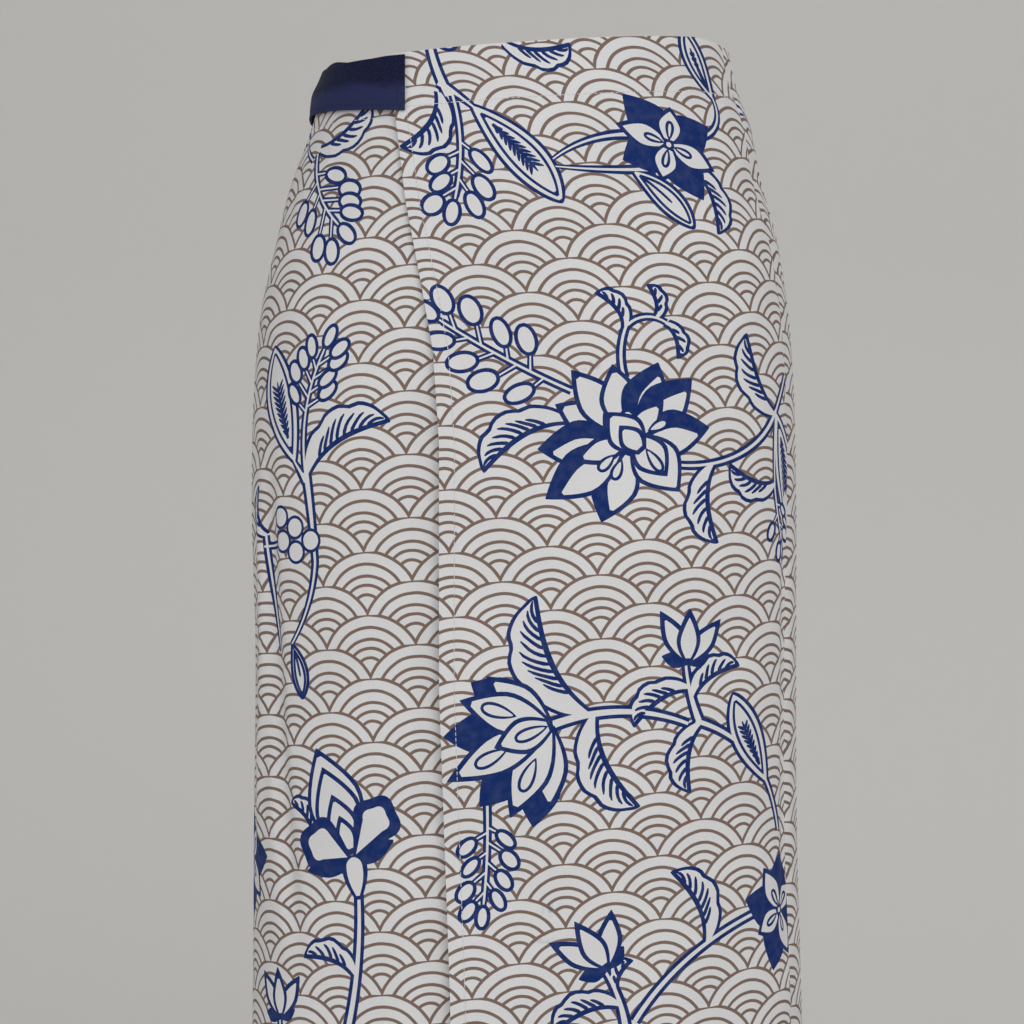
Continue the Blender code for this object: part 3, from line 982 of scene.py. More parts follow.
def low_branch(ink):
    """A bud, and a branch that climbs right from its foot to another star."""
    branch(ink, sweep((6, 0), 35, 122, 48), 8, 7, [(0.56, -26, 54, -1, hooked)])
    branch(ink, sweep((0, 4), -5, 42, -25), 9, 6, [
        (0.35, 250, 46, -1, hooked), (0.60, 35, 22, 1, hooked),
    ])
    bud(ink, (-10, -36), -32, 38)
    ink.place(ink.origin + off((0, 0), 65, 133) @ ink.turned, 35)
    star_flower(ink)


def grapes(ink, foot, turn, size):
    """Touching berries in a bunch."""
    for ahead, aside in ((0.6, -0.95), (1.4, -0.4), (0.6, 0.05), (1.3, 0.6), (2.15, 0.25)):
        middle = off(off(foot, turn, ahead * size), turn + 90, aside * size)
        ink.oval(off(middle, turn, -size / 2), off(middle, turn, size / 2), size)


def under_spray(ink):
    """Two leaves over a bunch of berries."""
    branch(ink, sweep((-6, 6), -60, 30, 20), 5, 3, [(0.9, -20, 36, 1, hooked)])
    hooked(ink, (0, 0), 55, 50, -1)
    berry_spray(ink, sweep((-2, 2), 168, 60, -35), 4, 20, first=0.28, stalk=1.5)


def under_branch(ink):
    """A long stem that parts into a hatched leaf, a fern leaf and berries."""
    stem = sweep((0, -4), 172, 60, 8)
    stem = np.concatenate([stem, sweep(stem[-1], 188, 58, 34)[1:]])
    branch(ink, stem, 9, 4, [(1.0, 168, 38, 1, plain)])
    hooked(ink, (0, -2), 64, 68, 1)
    branch(ink, sweep((0, 2), -35, 18), 9, 4, [(0.85, -16, 84, 1, fern)])
    berry_spray(ink, sweep((0, 0), -8, 84, 36), 4, 18, first=0.5, stalk=1.2)
    branch(ink, sweep((-38, 112), -12, 78, 12), 5, 5, [(1.0, -8, 34, 1, hooked)])
    ink.stem(sweep((-48, 42), 88, 22), 5, 6)
    grapes(ink, (-33, 40), 85, 16)


def bell_flower(ink):
    """A tall petal, four times outlined, between two lobed ones."""
    branch(ink, sweep((3, 16), 178, 115, 20), 7, 9, [(0.52, -75, 42, -1, hooked)])
    hooked(ink, (-28, -18), -50, 30, -1)
    for share in (1.0, 0.82, 0.56, 0.36):
        ink.petal((0, -4), off((0, -4), -20, 74 * share), 42 * share, belly=0.5)
    fan(ink, ((-98, 36), (64, 32)), 14, (0, 2), solid=True)
    ink.lobed_petal((0, 0), -66, 42, 34, 7)
    ink.lobed_petal((0, 0), 34, 46, 32, 7)
    ink.petal((3, 26), (0, -3), 18, belly=0.7, blunt=True)


def side_bud(ink):
    """A bud on a straight stem."""
    ink.stem(sweep((2, 42), -5, 36), 7, 6)
    bud(ink, (0, 6), -5, 34)


def waist_leaf(ink):
    """A leaf and a berry that hang into view from above the waist."""
    hooked(ink, (0, 0), 95, 44, -1)
    ink.berry((-44, -24), (-44, -10), (-30, 0), 14)


def drawn(layout):
    """layout: a motif, its middle in millimetres of the print, any turn, and 1 where mirrored."""
    ink = Ink()
    for motif, x, y, *turned in layout:
        ink.place((x, y), *turned)
        motif(ink)
    return ink.drawing()


OVER_MOTIFS = (
    (waist_leaf, 8, -350),
    (top_branch, -45, -325),
    (star_branch, 90, -275),
    (right_branch, 60, -65),
    (peony, 25, -85),
    (bud_branch, 60, 100),
    (lily, -35, 95),
    (low_branch, 5, 290),
    (peony, 60, 440, 12, 1),
    (under_branch, -40, 420, -10),
    (star_flower, -20, 580, 20),
    (bell_flower, 90, 580, -15, 1),
)
UNDER_MOTIFS = (
    (under_spray, -50, -230),
    (under_branch, -40, -10),
    (bell_flower, -17, 240),
    (side_bud, -80, 338),
    (star_flower, -130, 240, 15),
    (right_branch, -150, -50, 10, 1),
    (lily, -100, 540, 30),
    (peony, 10, 520, -10, 1),
)
BACK_MOTIFS = (
    (under_spray, -215, -300),
    (top_branch, -110, -330),
    (star_branch, 30, -290),
    (under_branch, 160, -170),
    (right_branch, -170, -110),
    (peony, -40, -90),
    (lily, -190, 90),
    (bud_branch, -70, 110),
    (bell_flower, 60, 120),
    (peony, 175, 60, 15, 1),
    (low_branch, -200, 300),
    (lily, 110, 330, -20, 1),
    (star_flower, -20, 330, 10),
    (peony, -90, 460, -8, 1),
    (under_spray, 40, 470, 10),
    (bell_flower, -230, 480, 0, 1),
    (bud_branch, 130, 500, 0, 1),
)


# ---- printed shells ----
GRID = 0.007                # spacing of the cloth's own points
GRID_CLEAR = 0.003          # kept between them and a panel's outline
ROW_HEIGHT = 0.87           # from one row of points to the next, in spacings
MERGE = 1e-6                # metres within which corners become one
BAKE_GAP = 0.02             # between the two faces of a panel on its bake map
BAKE_MARGIN = 0.005


def inside(points, outline):
    """Which points lie inside a closed outline."""
    x, y = points[:, 0], points[:, 1]
    found = np.zeros(len(points), bool)
    ax, ay = outline[:, 0], outline[:, 1]
    bx, by = np.roll(ax, -1), np.roll(ay, -1)
    for k in range(len(outline)):
        if ay[k] == by[k]:
            continue
        crosses = (ay[k] > y) != (by[k] > y)
        at = (bx[k] - ax[k]) * (y - ay[k]) / (by[k] - ay[k]) + ax[k]
        found ^= crosses & (x < at)
    return found


def cloth_grid(outline):
    """Points of a staggered grid inside the outline."""
    low, high = outline.min(0), outline.max(0)
    rows = np.arange(low[1], high[1], GRID * ROW_HEIGHT)
    points = np.concatenate([
        run(np.arange(low[0] + GRID / 2 * (k % 2), high[0], GRID), z) for k, z in enumerate(rows)
    ])
    middle = outline.mean(0)
    inner = middle + (outline - middle) * (1 - GRID_CLEAR / np.abs(outline - middle).max())
    return points[inside(points, inner)]


def printed_faces(panel, drawing):
    """The panel's triangles in the (s, z) plane, cut along the drawing, and each one's ink."""
    outline = panel.outline()
    faces = [list(range(len(outline)))]
    placed = panel.place_of(np.concatenate([shape for _, shape in drawing]) / PITCH)
    at = 0
    for _, shape in drawing:
        order = list(range(len(outline) + at, len(outline) + at + len(shape)))
        x, y = placed[at:at + len(shape)].T
        at += len(shape)
        turning = np.sum(x * np.roll(y, -1) - np.roll(x, -1) * y)
        faces.append(order if turning > 0 else order[::-1])
    inks = [GROUND] + [ink for ink, _ in drawing]
    points = np.concatenate([outline, placed, cloth_grid(outline)])
    verts, _, tris, _, _, sources = delaunay_2d_cdt(
        [tuple(point) for point in points], [], faces, 0, MERGE, True
    )
    verts = np.array([tuple(v) for v in verts])
    kept = [k for k, source in enumerate(sources) if 0 in source]
    ink = np.array([inks[max(sources[k])] for k in kept], np.float32)
    tris = np.array([tris[k] for k in kept])
    used, tris = np.unique(tris, return_inverse=True)
    return verts[used], tris.reshape(-1, 3), ink


def put(items, key, values, kind=np.float32):
    """Give a mesh's items all their values at once."""
    items.foreach_set(key, np.asarray(values).astype(kind).ravel())


def linked(name, data):
    """A new object in the scene."""
    made = bpy.data.objects.new(name, data)
    bpy.context.scene.collection.objects.link(made)
    return made


def smooth_body(name, verts, faces, finish):
    """A smooth-shaded object with one material."""
    mesh = bpy.data.meshes.new(name)
    mesh.from_pydata(verts, [], faces)
    mesh.polygons.foreach_set("use_smooth", [True] * len(mesh.polygons))
    mesh.materials.append(finish)
    mesh.validate()
    return linked(name, mesh)


def tube_faces(first, rings, size):
    """Faces round a tube through rings of points, which start at the first."""
    return [
        (ring + j, ring + (j + 1) % size, ring + size + (j + 1) % size, ring + size + j)
        for ring in range(first, first + (rings - 1) * size, size)
        for j in range(size)
    ]


def border_edges(tris):
    """Directed edges of the triangles that no other triangle shares."""
    edges = np.concatenate([tris[:, [0, 1]], tris[:, [1, 2]], tris[:, [2, 0]]])
    back = set(map(tuple, edges[:, ::-1]))
    return np.array([edge for edge in map(tuple, edges) if edge not in back])


def printed_panel(name, panel, drawing, finishes):
    """A closed shell of cloth. finishes: its outer face's, its inner face's."""
    plane, tris, ink = printed_faces(panel, drawing)
    s, z = plane.T
    outer, normal = panel.surface_and_normal(s, z)
    rim = border_edges(tris)
    count = len(plane)
    loops = np.concatenate([
        tris.ravel(),
        (tris[:, ::-1] + count).ravel(),
        np.column_stack([rim[:, 1], rim[:, 0], rim[:, 0] + count, rim[:, 1] + count]).ravel(),
    ])
    parts = (len(tris), len(tris), len(rim))
    sides = np.repeat([3, 3, 4], parts)
    mesh = bpy.data.meshes.new(name)
    mesh.vertices.add(2 * count)
    put(mesh.vertices, "co", np.concatenate([outer, outer - normal * WALL]))
    mesh.loops.add(len(loops))
    put(mesh.loops, "vertex_index", loops, np.int32)
    mesh.polygons.add(len(sides))
    put(mesh.polygons, "loop_start", running(sides)[:-1], np.int32)
    put(mesh.polygons, "material_index", np.repeat([0, 1, 0], parts), np.int32)
    mesh.update(calc_edges=True)
    flat = panel.print_at(s, z) + (panel.aside, 0)
    put(mesh.uv_layers.new(name="print").data, "uv", np.concatenate([flat, flat])[loops])
    low = plane.min(0)
    share = (plane - low) / (plane.max(0) - low)
    halves = np.concatenate([share, share + (1 + BAKE_GAP, 0)]) * (1 / (2 + BAKE_GAP), 1)
    halves = BAKE_MARGIN + (1 - 2 * BAKE_MARGIN) * halves
    put(mesh.uv_layers.new(name="OFBake").data, "uv", halves[loops])
    tint = mesh.attributes.new("ink", "FLOAT", "FACE")
    put(tint.data, "value", np.concatenate([ink, ink, np.zeros(len(rim))]))
    put(mesh.polygons, "use_smooth", np.ones(len(sides)), bool)
    mesh.normals_split_custom_set_from_vertices(np.concatenate([normal, -normal]).tolist())
    for finish in finishes:
        mesh.materials.append(finish)
    mesh.validate()
    return linked(name, mesh)


# ---- the waist band ----
BAND_ASIDE = 0.078           # its front end stands plumb, this far from the middle towards -X
BAND_PLUMB = 0.100           # along the band, until its columns follow the form instead
BAND_LENGTH = 0.560          # along the girth coordinate
BAND_ON_PANEL = 0.012        # this much lies on the over panel
BAND_THICK = 0.0016          # the strip folded double
BAND_PLY = 0.0007            # one ply of it
BAND_EDGES = np.array([
    # along,  top,     bottom
    (0.000, -0.011, -0.048),
    (0.060, -0.012, -0.044),
    (0.110, -0.012, -0.042),
    (0.220, -0.011, -0.045),
    (0.560, -0.006, -0.043),
])
BAND_PROFILE = np.array([
    # down,  lift of its inner face: the lower half stands off, the upper half leans in
    (0.00, 0.0006),
    (0.25, 0.0022),
    (0.45, 0.0036),
    (0.70, 0.0032),
    (1.00, 0.0020),
])
BAND_END_SEAM = 0.0068       # its stitched line, from the front end
BAND_LOW_SEAM = 0.0028       # its stitched line, from the lower fold
BAND_GROOVE = 0.00035        # depth of the dent along a stitched line
BAND_GROOVE_WIDTH = 0.0016
BAND_PEEP = 0.0024           # how far its inner ply shows over the outer one
BAND_PEEP_AT = 0.085         # the middle of that stretch, along the band
BAND_PEEP_HALF = 0.030
BAND_PEEP_CURL = 6           # more keeps the peeping to the ply's very edge
BAND_WAVE = 0.0004           # slack ripples between the seams
BAND_WAVE_START = (0.02, 0.06)   # along the band, from none to full
BAND_WAVE_RATE = (95, 2.2)   # how close they stand along it, and how far they lean
BAND_REST = 0.0006           # its front end's inner face above the over panel
BAND_SHORT_PLY = 0.975       # the inside of the fold reaches this far down
BAND_FOLD_BULGE = 0.016      # how far the fold goes below the band's lower edge, as a share
BAND_COLUMNS = 300
BAND_CROWDING = 1.6          # how much closer the columns stand at its front end
BAND_ROWS = 28
BAND_FOLD_POINTS = 5
BAND_CAPS = (                # runs of the profile that face each other across a ply
    (0, 4 * BAND_ROWS + BAND_FOLD_POINTS - 1),
    (BAND_ROWS + BAND_FOLD_POINTS, 3 * BAND_ROWS + BAND_FOLD_POINTS - 1),
)
BAND_HEIGHTS = np.linspace(-0.060, 0.0, 61)
BAND_PLUMB_GIRTHS = np.array([girth_at(-BAND_ASIDE, z) for z in BAND_HEIGHTS])
BAND_START = girth_at(-BAND_ASIDE, BAND_EDGES[0, 1])


def band_point(along, down, raised):
    """A point of the band. raised is how far it stands above the band's inner face."""
    top, bottom = (lookup(BAND_EDGES, along, k) for k in (1, 2))
    inner = smooth(BAND_PROFILE[:, 0], BAND_PROFILE[:, 1], np.clip(down, 0, 1))
    on_panel = OVER_LIFT + OVER_LIP + BAND_REST
    inner = inner + (on_panel - inner) * (1 - ramp(along, BAND_ON_PANEL, 3 * BAND_ON_PANEL))
    z = top + (bottom - top) * down
    slant = np.interp(z, BAND_HEIGHTS, BAND_PLUMB_GIRTHS) - BAND_START
    slant = slant * (1 - ramp(along, 0, BAND_PLUMB))
    place, out = on_form(wrapped(BAND_START + slant - along), z)
    rate, lean = BAND_WAVE_RATE
    slack = np.sin(along * rate + lean * down) * np.sin(math.pi * down)
    slack = slack * ramp(along, *BAND_WAVE_START) * (raised > BAND_PLY)
    raised = raised + BAND_WAVE * slack
    return np.column_stack([place + out * (inner + raised)[:, None], z])


def band_height(along):
    """From the band's lower edge to its upper one."""
    return lookup(BAND_EDGES, along) - lookup(BAND_EDGES, along, 2)


def band_profile():
    """The folded strip's closed outline: down, height above the inner face, and if it peeps."""
    down = np.linspace(0, 1, BAND_ROWS)
    turn = np.linspace(0, math.pi, BAND_FOLD_POINTS + 2)[1:-1]
    parts = (
        (down, BAND_THICK, 0),
        (1 + BAND_FOLD_BULGE * np.sin(turn), BAND_THICK / 2 * (1 + np.cos(turn)), 0),
        (down[::-1], 0, 1 - down[::-1]),
        (down * BAND_SHORT_PLY, BAND_PLY, 1 - down),
        (down[::-1] * BAND_SHORT_PLY, BAND_THICK - BAND_PLY, 0),
    )
    return np.concatenate([np.column_stack(np.broadcast_arrays(*part)) for part in parts])


def waist_band(finish):
    """The folded strip, with dents along its stitched lines."""
    down, raised, peeps = band_profile().T
    outer = raised == BAND_THICK
    rings = []
    for along in BAND_LENGTH * np.linspace(0, 1, BAND_COLUMNS) ** BAND_CROWDING:
        height = band_height(along)
        dents = bump(along - BAND_END_SEAM, BAND_GROOVE_WIDTH) + 0 * down
        dents = np.maximum(dents, bump(height * (1 - down) - BAND_LOW_SEAM, BAND_GROOVE_WIDTH))
        peep = BAND_PEEP / height * bump(along - BAND_PEEP_AT, BAND_PEEP_HALF)
        places = np.full(len(down), along)
        shown = down - peep * peeps ** BAND_PEEP_CURL
        rings.append(band_point(places, shown, raised - BAND_GROOVE * dents * outer))
    faces = band_faces(rings)
    return smooth_body("waist_band_cloth", np.concatenate(rings).tolist(), faces, finish)


def band_faces(rings):
    """Faces of a closed body through rings of points, with its ends capped by strips."""
    count, size = len(rings), len(rings[0])
    faces = tube_faces(0, count, size)
    for first, flip in ((0, True), ((count - 1) * size, False)):
        for near, far in BAND_CAPS:
            for j in range(BAND_ROWS - 1):
                ahead, across = first + near + j, first + far - j
                corners = (ahead, ahead + 1, across - 1, across)
                faces.append(corners[::-1] if flip else corners)
        fold = first + BAND_ROWS
        inside_fold = first + 3 * BAND_ROWS + BAND_FOLD_POINTS - 1
        rim = [fold - 1, *range(fold, fold + BAND_FOLD_POINTS + 1), inside_fold, inside_fold + 1]
        faces.append(tuple(rim[::-1] if flip else rim))
    return faces


# ---- stitching ----
STITCH = 0.0027              # length of a stitch
STITCH_STEP = 0.0036         # from one stitch to the next
STITCH_SIDES = 6
STITCH_PROFILE = (           # share of its length, half width, height of its middle
    (0.00, 0.00008, -0.00010),
    (0.15, 0.00024, 0.00006),
    (0.50, 0.00027, 0.00012),
    (0.85, 0.00024, 0.00006),
    (1.00, 0.00008, -0.00010),
)


def stitch_line(points, normals):
    """Stitches along a line of points on cloth: their vertices and faces."""
    steps = running(np.linalg.norm(np.diff(points, axis=0), axis=1))
    shares = np.array([share for share, _, _ in STITCH_PROFILE])
    turns = 2 * math.pi * np.arange(STITCH_SIDES) / STITCH_SIDES
    verts, faces = [], []
    for k in range(int(steps[-1] / STITCH_STEP)):
        at = k * STITCH_STEP + shares * STITCH
        middle = along_line(at, steps, points)
        out = along_line(at, steps, normals)
        along = (middle[-1] - middle[0]) / np.linalg.norm(middle[-1] - middle[0])
        base = len(verts)
        for (_, half, height), place, up, beside in zip(
            STITCH_PROFILE, middle, out, np.cross(out, along)
        ):
            for turn in turns:
                rise = height + half * math.sin(turn)
                verts.append(place + up * rise + beside * half * math.cos(turn))
        faces += tube_faces(base, len(STITCH_PROFILE), STITCH_SIDES)
        last = base + (len(STITCH_PROFILE) - 1) * STITCH_SIDES
        faces.append(tuple(range(base, base + STITCH_SIDES))[::-1])
        faces.append(tuple(range(last, last + STITCH_SIDES)))
    return verts, faces


def stitches(name, lines, finish):
    """One joined mesh of the stitches along several lines of points and normals."""
    verts, faces = [], []
    for points, normals in lines:
        more_verts, more_faces = stitch_line(points, normals)
        faces += [tuple(index + len(verts) for index in face) for face in more_faces]
        verts += more_verts
    return smooth_body(name, [tuple(vertex) for vertex in verts], faces, finish)


EDGE_SEAM = 0.0095           # stitches inside the over panel's free edge
WAIST_SEAM = 0.037           # below the panels' tops
HEM_SEAM = 0.012             # above the hems
SEAM_CLEAR = 0.003           # a line of stitches ends this far from a seam
OVER_WAIST_FROM = -0.095     # girth coordinates at which the front panels' lines start or end
OVER_HEM_FROM = -0.040
UNDER_WAIST_TO = -0.110
UNDER_HEM_TO = -0.048
EDGE_ENDS = (0.002, 0.998)   # shares of the way down between which the edge is stitched
LINE_POINTS = 400            # along a waist or hem line
EDGE_POINTS = 900


def panel_stitches(over, under, back, finish):
    """The stitches of each panel: below its top, above its hem and beside its free edge."""
    down = np.linspace(*EDGE_ENDS, EDGE_POINTS)
    beside = edge_of_over(down) + EDGE_SEAM
    top = lookup(OVER_TOP, beside)
    edge = (beside, top + (hem(beside, OVER_HEM_SLOPE) - top) * down)
    left, right = SEAM_LEFT + SEAM_CLEAR, SEAM_RIGHT - SEAM_CLEAR
    back_ends = SEAM_RIGHT + SEAM_CLEAR, SEAM_FAR - SEAM_CLEAR

    def sewn(name, panel, *lines):
        """lines: each from one girth coordinate to another, at a height worked out from it."""
        places = [(np.linspace(start, end, LINE_POINTS), height) for start, end, height in lines]
        places = [(s, height(s)) for s, height in places]
        if panel is over:
            places.append(edge)
        return stitches(name, [panel.surface_and_normal(s, z) for s, z in places], finish)

    return (
        sewn(
            "over_stitches", over,
            (OVER_WAIST_FROM, right, lambda s: lookup(OVER_TOP, s) - WAIST_SEAM),
            (OVER_HEM_FROM, right, lambda s: hem(s, OVER_HEM_SLOPE) + HEM_SEAM),
        ),
        sewn(
            "under_stitches", under,
            (left, UNDER_WAIST_TO, lambda s: lookup(UNDER_TOP, s) - WAIST_SEAM),
            (left, UNDER_HEM_TO, lambda s: hem(s, UNDER_HEM_SLOPE) + HEM_SEAM),
        ),
        sewn(
            "back_stitches", back,
            (*back_ends, lambda s: lookup(BACK_TOP, s - SEAM_RIGHT) - WAIST_SEAM),
            (*back_ends, lambda s: back_hem(s) + HEM_SEAM),
        ),
    )


BAND_LINE_ENDS = (0.03, 0.97)    # shares of the band's height between which its ends are sewn
BAND_LINE_MARGINS = (0.0015, 0.002)     # from its two ends to the line along its fold
BAND_END_POINTS = 80
BAND_LINE_POINTS = 1200
BAND_PROBE = 0.001           # how far out of the cloth its direction is measured


def band_stitches(finish):
    """The line across the band's front end, the far end's, and the one along its fold."""
    down = np.linspace(*BAND_LINE_ENDS, BAND_END_POINTS)
    start, short = BAND_LINE_MARGINS
    along = np.linspace(start, BAND_LENGTH - short, BAND_LINE_POINTS)
    lines = []
    for places, downs in (
        (np.full(len(down), BAND_END_SEAM), down),
        (np.full(len(down), BAND_LENGTH - BAND_END_SEAM), down),
        (along, 1 - BAND_LOW_SEAM / band_height(along)),
    ):
        sunk = np.full(len(places), BAND_THICK - BAND_GROOVE)
        points = band_point(places, downs, sunk)
        out = band_point(places, downs, sunk + BAND_PROBE) - points
        lines.append((points, out / np.linalg.norm(out, axis=1, keepdims=True)))
    return stitches("band_stitches", lines, finish)


# ---- materials ----
Noise = namedtuple("Noise", "scale detail low high least most", defaults=(0.0, 1.0))
DRIFT = 6.0                 # scale of the wandering of the printed lines
DRIFT_REACH = 0.012         # pitches
CLOUDS = Noise(0.7, 3.0, 0.3, 0.7, 0.965, 1.02)     # broad, faint differences in tone
SPECKS = Noise(90.0, 2.0, 0.3, 0.7, 0.93, 1.05)     # from thread to thread
WORN = Noise(9.0, 3.0, 0.35, 0.75, 1.0, 0.97)       # the blue, where it is thinner
RAGGED = Noise(16.0, 3.0, 0.42, 0.75)               # the smudges' edges
BAND_CLOUDS = Noise(45.0, 3.0, 0.3, 0.7)
BAND_FLECKS = Noise(1100.0, 2.0, 0.35, 0.7)
TWIST = Noise(2600.0, 1.0, 0.3, 0.7)                # of the threads
ARC_SOFT = 0.003            # pitches over which a brown line's edge fades, to each side
SMUDGES = ((0.10, -2.20), (-0.65, 3.50), (-0.75, 3.80))     # faint blue marks, in pitches
SMUDGE_REACH = 0.17
SMUDGE_FLAT = 1.8           # how much wider than high
SMUDGE_INK = 0.55
PRINT_WEAVE = 110.0         # threads to a pitch, so about 18 to a centimetre
BAND_WEAVE = 1600.0         # threads to a metre
WEAVE_DEPTH = 0.00012
WEAVE_SHARE = 0.35          # of the threads in the relief, beside the slubs
WEAVE_STRENGTH = 0.5
SLUB_THREADS = 6            # threads to a slub
SLUB_DETAIL = 3.0
SLUB_RANGE = (0.3, 0.7)
GLOSS_RANGE = (-0.04, 0.06)     # added to the roughness
SPECULAR = 0.12
SHEEN = 0.04
SHEEN_ROUGHNESS = 0.4
PRINT_ROUGHNESS = 0.82
BAND_ROUGHNESS = 0.86
THREAD_ROUGHNESS = 0.6
THREAD_SHADE = 0.8          # of a thread's colour in its twists
BAND_BEND = -0.0275         # height at which the band bends; below it the band is painted paler, as painted light on its standing lower half
BAND_BEND_SOFT = 0.004      # the edge of that painted light fades and wanders by this much
# The band's navy in two copies: darker above the bend as painted shade, paler below it as painted
# light
BAND_PAINTED_SHADE_NAVY = (0.006, 0.008, 0.032, 1)
BAND_PAINTED_LIGHT_NAVY = (0.022, 0.028, 0.090, 1)
BAND_FLECK = (0.034, 0.040, 0.110, 1)
BAND_FLECK_SHARE = 0.30
WHITE_THREAD = (0.74, 0.74, 0.75, 1)
NAVY_THREAD = (0.008, 0.009, 0.030, 1)
PRINT_FACE = dict(
    ground=(0.740, 0.737, 0.745, 1), waves=(0.212, 0.146, 0.118, 1), navy=(0.006, 0.026, 0.142, 1)
)
PRINT_REVERSE = dict(
    ground=(0.72, 0.705, 0.695, 1), waves=(0.50, 0.44, 0.41, 1), navy=(0.22, 0.26, 0.42, 1)
)


class Nodes:
    """Short ways to add shader nodes."""

    def __init__(self, name):
        self.material = bpy.data.materials.new(name)
        self.material.use_nodes = True
        self.tree = self.material.node_tree
        self.shader = self.tree.nodes["Principled BSDF"].inputs

    def add(self, kind, *inputs, **settings):
        node = self.tree.nodes.new(kind)
        for key, value in settings.items():
            setattr(node, key, value)
        for socket, value in zip(node.inputs, inputs):
            self.feed(socket, value)
        return node

    def named(self, kind, output, inputs, **settings):
        """The output of a node whose inputs are given by name."""
        node = self.add(kind, **settings)
        for key, value in inputs.items():
            self.feed(node.inputs[key], value)
        return node.outputs[output]

    def feed(self, socket, value):
        if isinstance(value, bpy.types.NodeSocket):
            self.tree.links.new(value, socket)
        else:
            socket.default_value = value

    def math(self, operation, *inputs):
        return self.add("ShaderNodeMath", *inputs, operation=operation).outputs[0]

    def vector(self, operation, *inputs):
        node = self.add("ShaderNodeVectorMath", *inputs, operation=operation)
        return node.outputs["Value" if operation == "DISTANCE" else "Vector"]

    def scaled(self, vector, factor):
        inputs = {"Vector": vector, "Scale": factor}
        return self.named("ShaderNodeVectorMath", "Vector", inputs, operation="SCALE")

    def mix(self, factor, first, second):
        inputs = {"Factor": factor, "A": first, "B": second}
        return self.named("ShaderNodeMix", "Result", inputs, data_type="RGBA")

    def noise(self, where, scale, detail=2.0, output="Fac"):
        inputs = {"Vector": where, "Scale": scale, "Detail": detail}
        return self.named("ShaderNodeTexNoise", output, inputs)

    def between(self, value, low, high, least=0.0, most=1.0):
        node = self.add("ShaderNodeMapRange", value, low, high, least, most)
        node.interpolation_type = "SMOOTHSTEP"
        return node.outputs["Result"]

    def mottled(self, where, look):
        return self.between(self.noise(where, look.scale, look.detail), *look[2:])


def wave_lines(nodes, across, down):
    """The brown wave pattern: 1 on its lines and 0 between them."""
    def wave(column, below_top):
        nearest = nodes.math("SUBTRACT", nodes.math("FRACT", nodes.math("ADD", column, 0.5)), 0.5)
        point = nodes.add("ShaderNodeCombineXYZ", nearest, below_top).outputs[0]
        rings = []
        for top, radius in ARCS:
            away = nodes.vector("DISTANCE", point, (0.0, top + radius, 0.0))
            rings.append(nodes.math("SUBTRACT", away, radius))
        lines = nodes.math("ABSOLUTE", rings[0])
        for ring in rings[1:]:
            lines = nodes.math("MINIMUM", lines, nodes.math("ABSOLUTE", ring))
        return rings[0], lines

    row = nodes.math("FLOOR", nodes.math("DIVIDE", down, ROW))
    shift = nodes.math("MULTIPLY", nodes.math("FLOORED_MODULO", row, 2.0), 0.5)
    column = nodes.math("SUBTRACT", across, shift)
    below_top = nodes.math("SUBTRACT", down, nodes.math("MULTIPLY", row, ROW))
    outer, near = wave(column, below_top)
    _, far = wave(nodes.math("ADD", column, 0.5), nodes.math("ADD", below_top, ROW))
    covered = nodes.math("LESS_THAN", outer, 0.0)
    beyond = nodes.math("MINIMUM", far, nodes.math("ABSOLUTE", outer))
    uncovered = nodes.math("MULTIPLY", nodes.math("SUBTRACT", 1.0, covered), beyond)
    nearest = nodes.math("ADD", nodes.math("MULTIPLY", covered, near), uncovered)
    half = ARC_LINE / 2
    return nodes.between(nearest, half - ARC_SOFT, half + ARC_SOFT, 1.0, 0.0)


def smudges(nodes, flat):
    """Small blue marks with ragged edges, 1 at their darkest."""
    widened = nodes.vector("MULTIPLY", flat, (1, SMUDGE_FLAT, 0))
    marks = 0.0
    for across, down in SMUDGES:
        away = nodes.vector("DISTANCE", widened, (across, SMUDGE_FLAT * down, 0))
        mark = nodes.between(away, 0.0, SMUDGE_REACH, 1.0, 0.0)
        marks = nodes.math("MAXIMUM", marks, mark)
    return nodes.math("MULTIPLY", marks, nodes.mottled(flat, RAGGED))


def cotton_surface(nodes, place, roughness, threads):
    """Plain weave, as fine relief, and the soft gloss of cotton."""
    parts = nodes.add("ShaderNodeSeparateXYZ", place).outputs
    pace = math.pi * threads
    turned = [nodes.math("SINE", nodes.math("MULTIPLY", part, pace)) for part in parts[:2]]
    woven = nodes.math("MULTIPLY", turned[0], turned[1])
    slubs = nodes.noise(place, threads / SLUB_THREADS, SLUB_DETAIL)
    relief = nodes.math("ADD", nodes.math("MULTIPLY", woven, WEAVE_SHARE), slubs)
    inputs = {"Strength": WEAVE_STRENGTH, "Distance": WEAVE_DEPTH, "Height": relief}
    nodes.feed(nodes.shader["Normal"], nodes.named("ShaderNodeBump", "Normal", inputs))
    least, most = GLOSS_RANGE
    gloss = nodes.between(slubs, *SLUB_RANGE, roughness + least, roughness + most)
    nodes.feed(nodes.shader["Roughness"], gloss)
    nodes.shader["Specular IOR Level"].default_value = SPECULAR
    nodes.shader["Sheen Weight"].default_value = SHEEN
    nodes.shader["Sheen Roughness"].default_value = SHEEN_ROUGHNESS


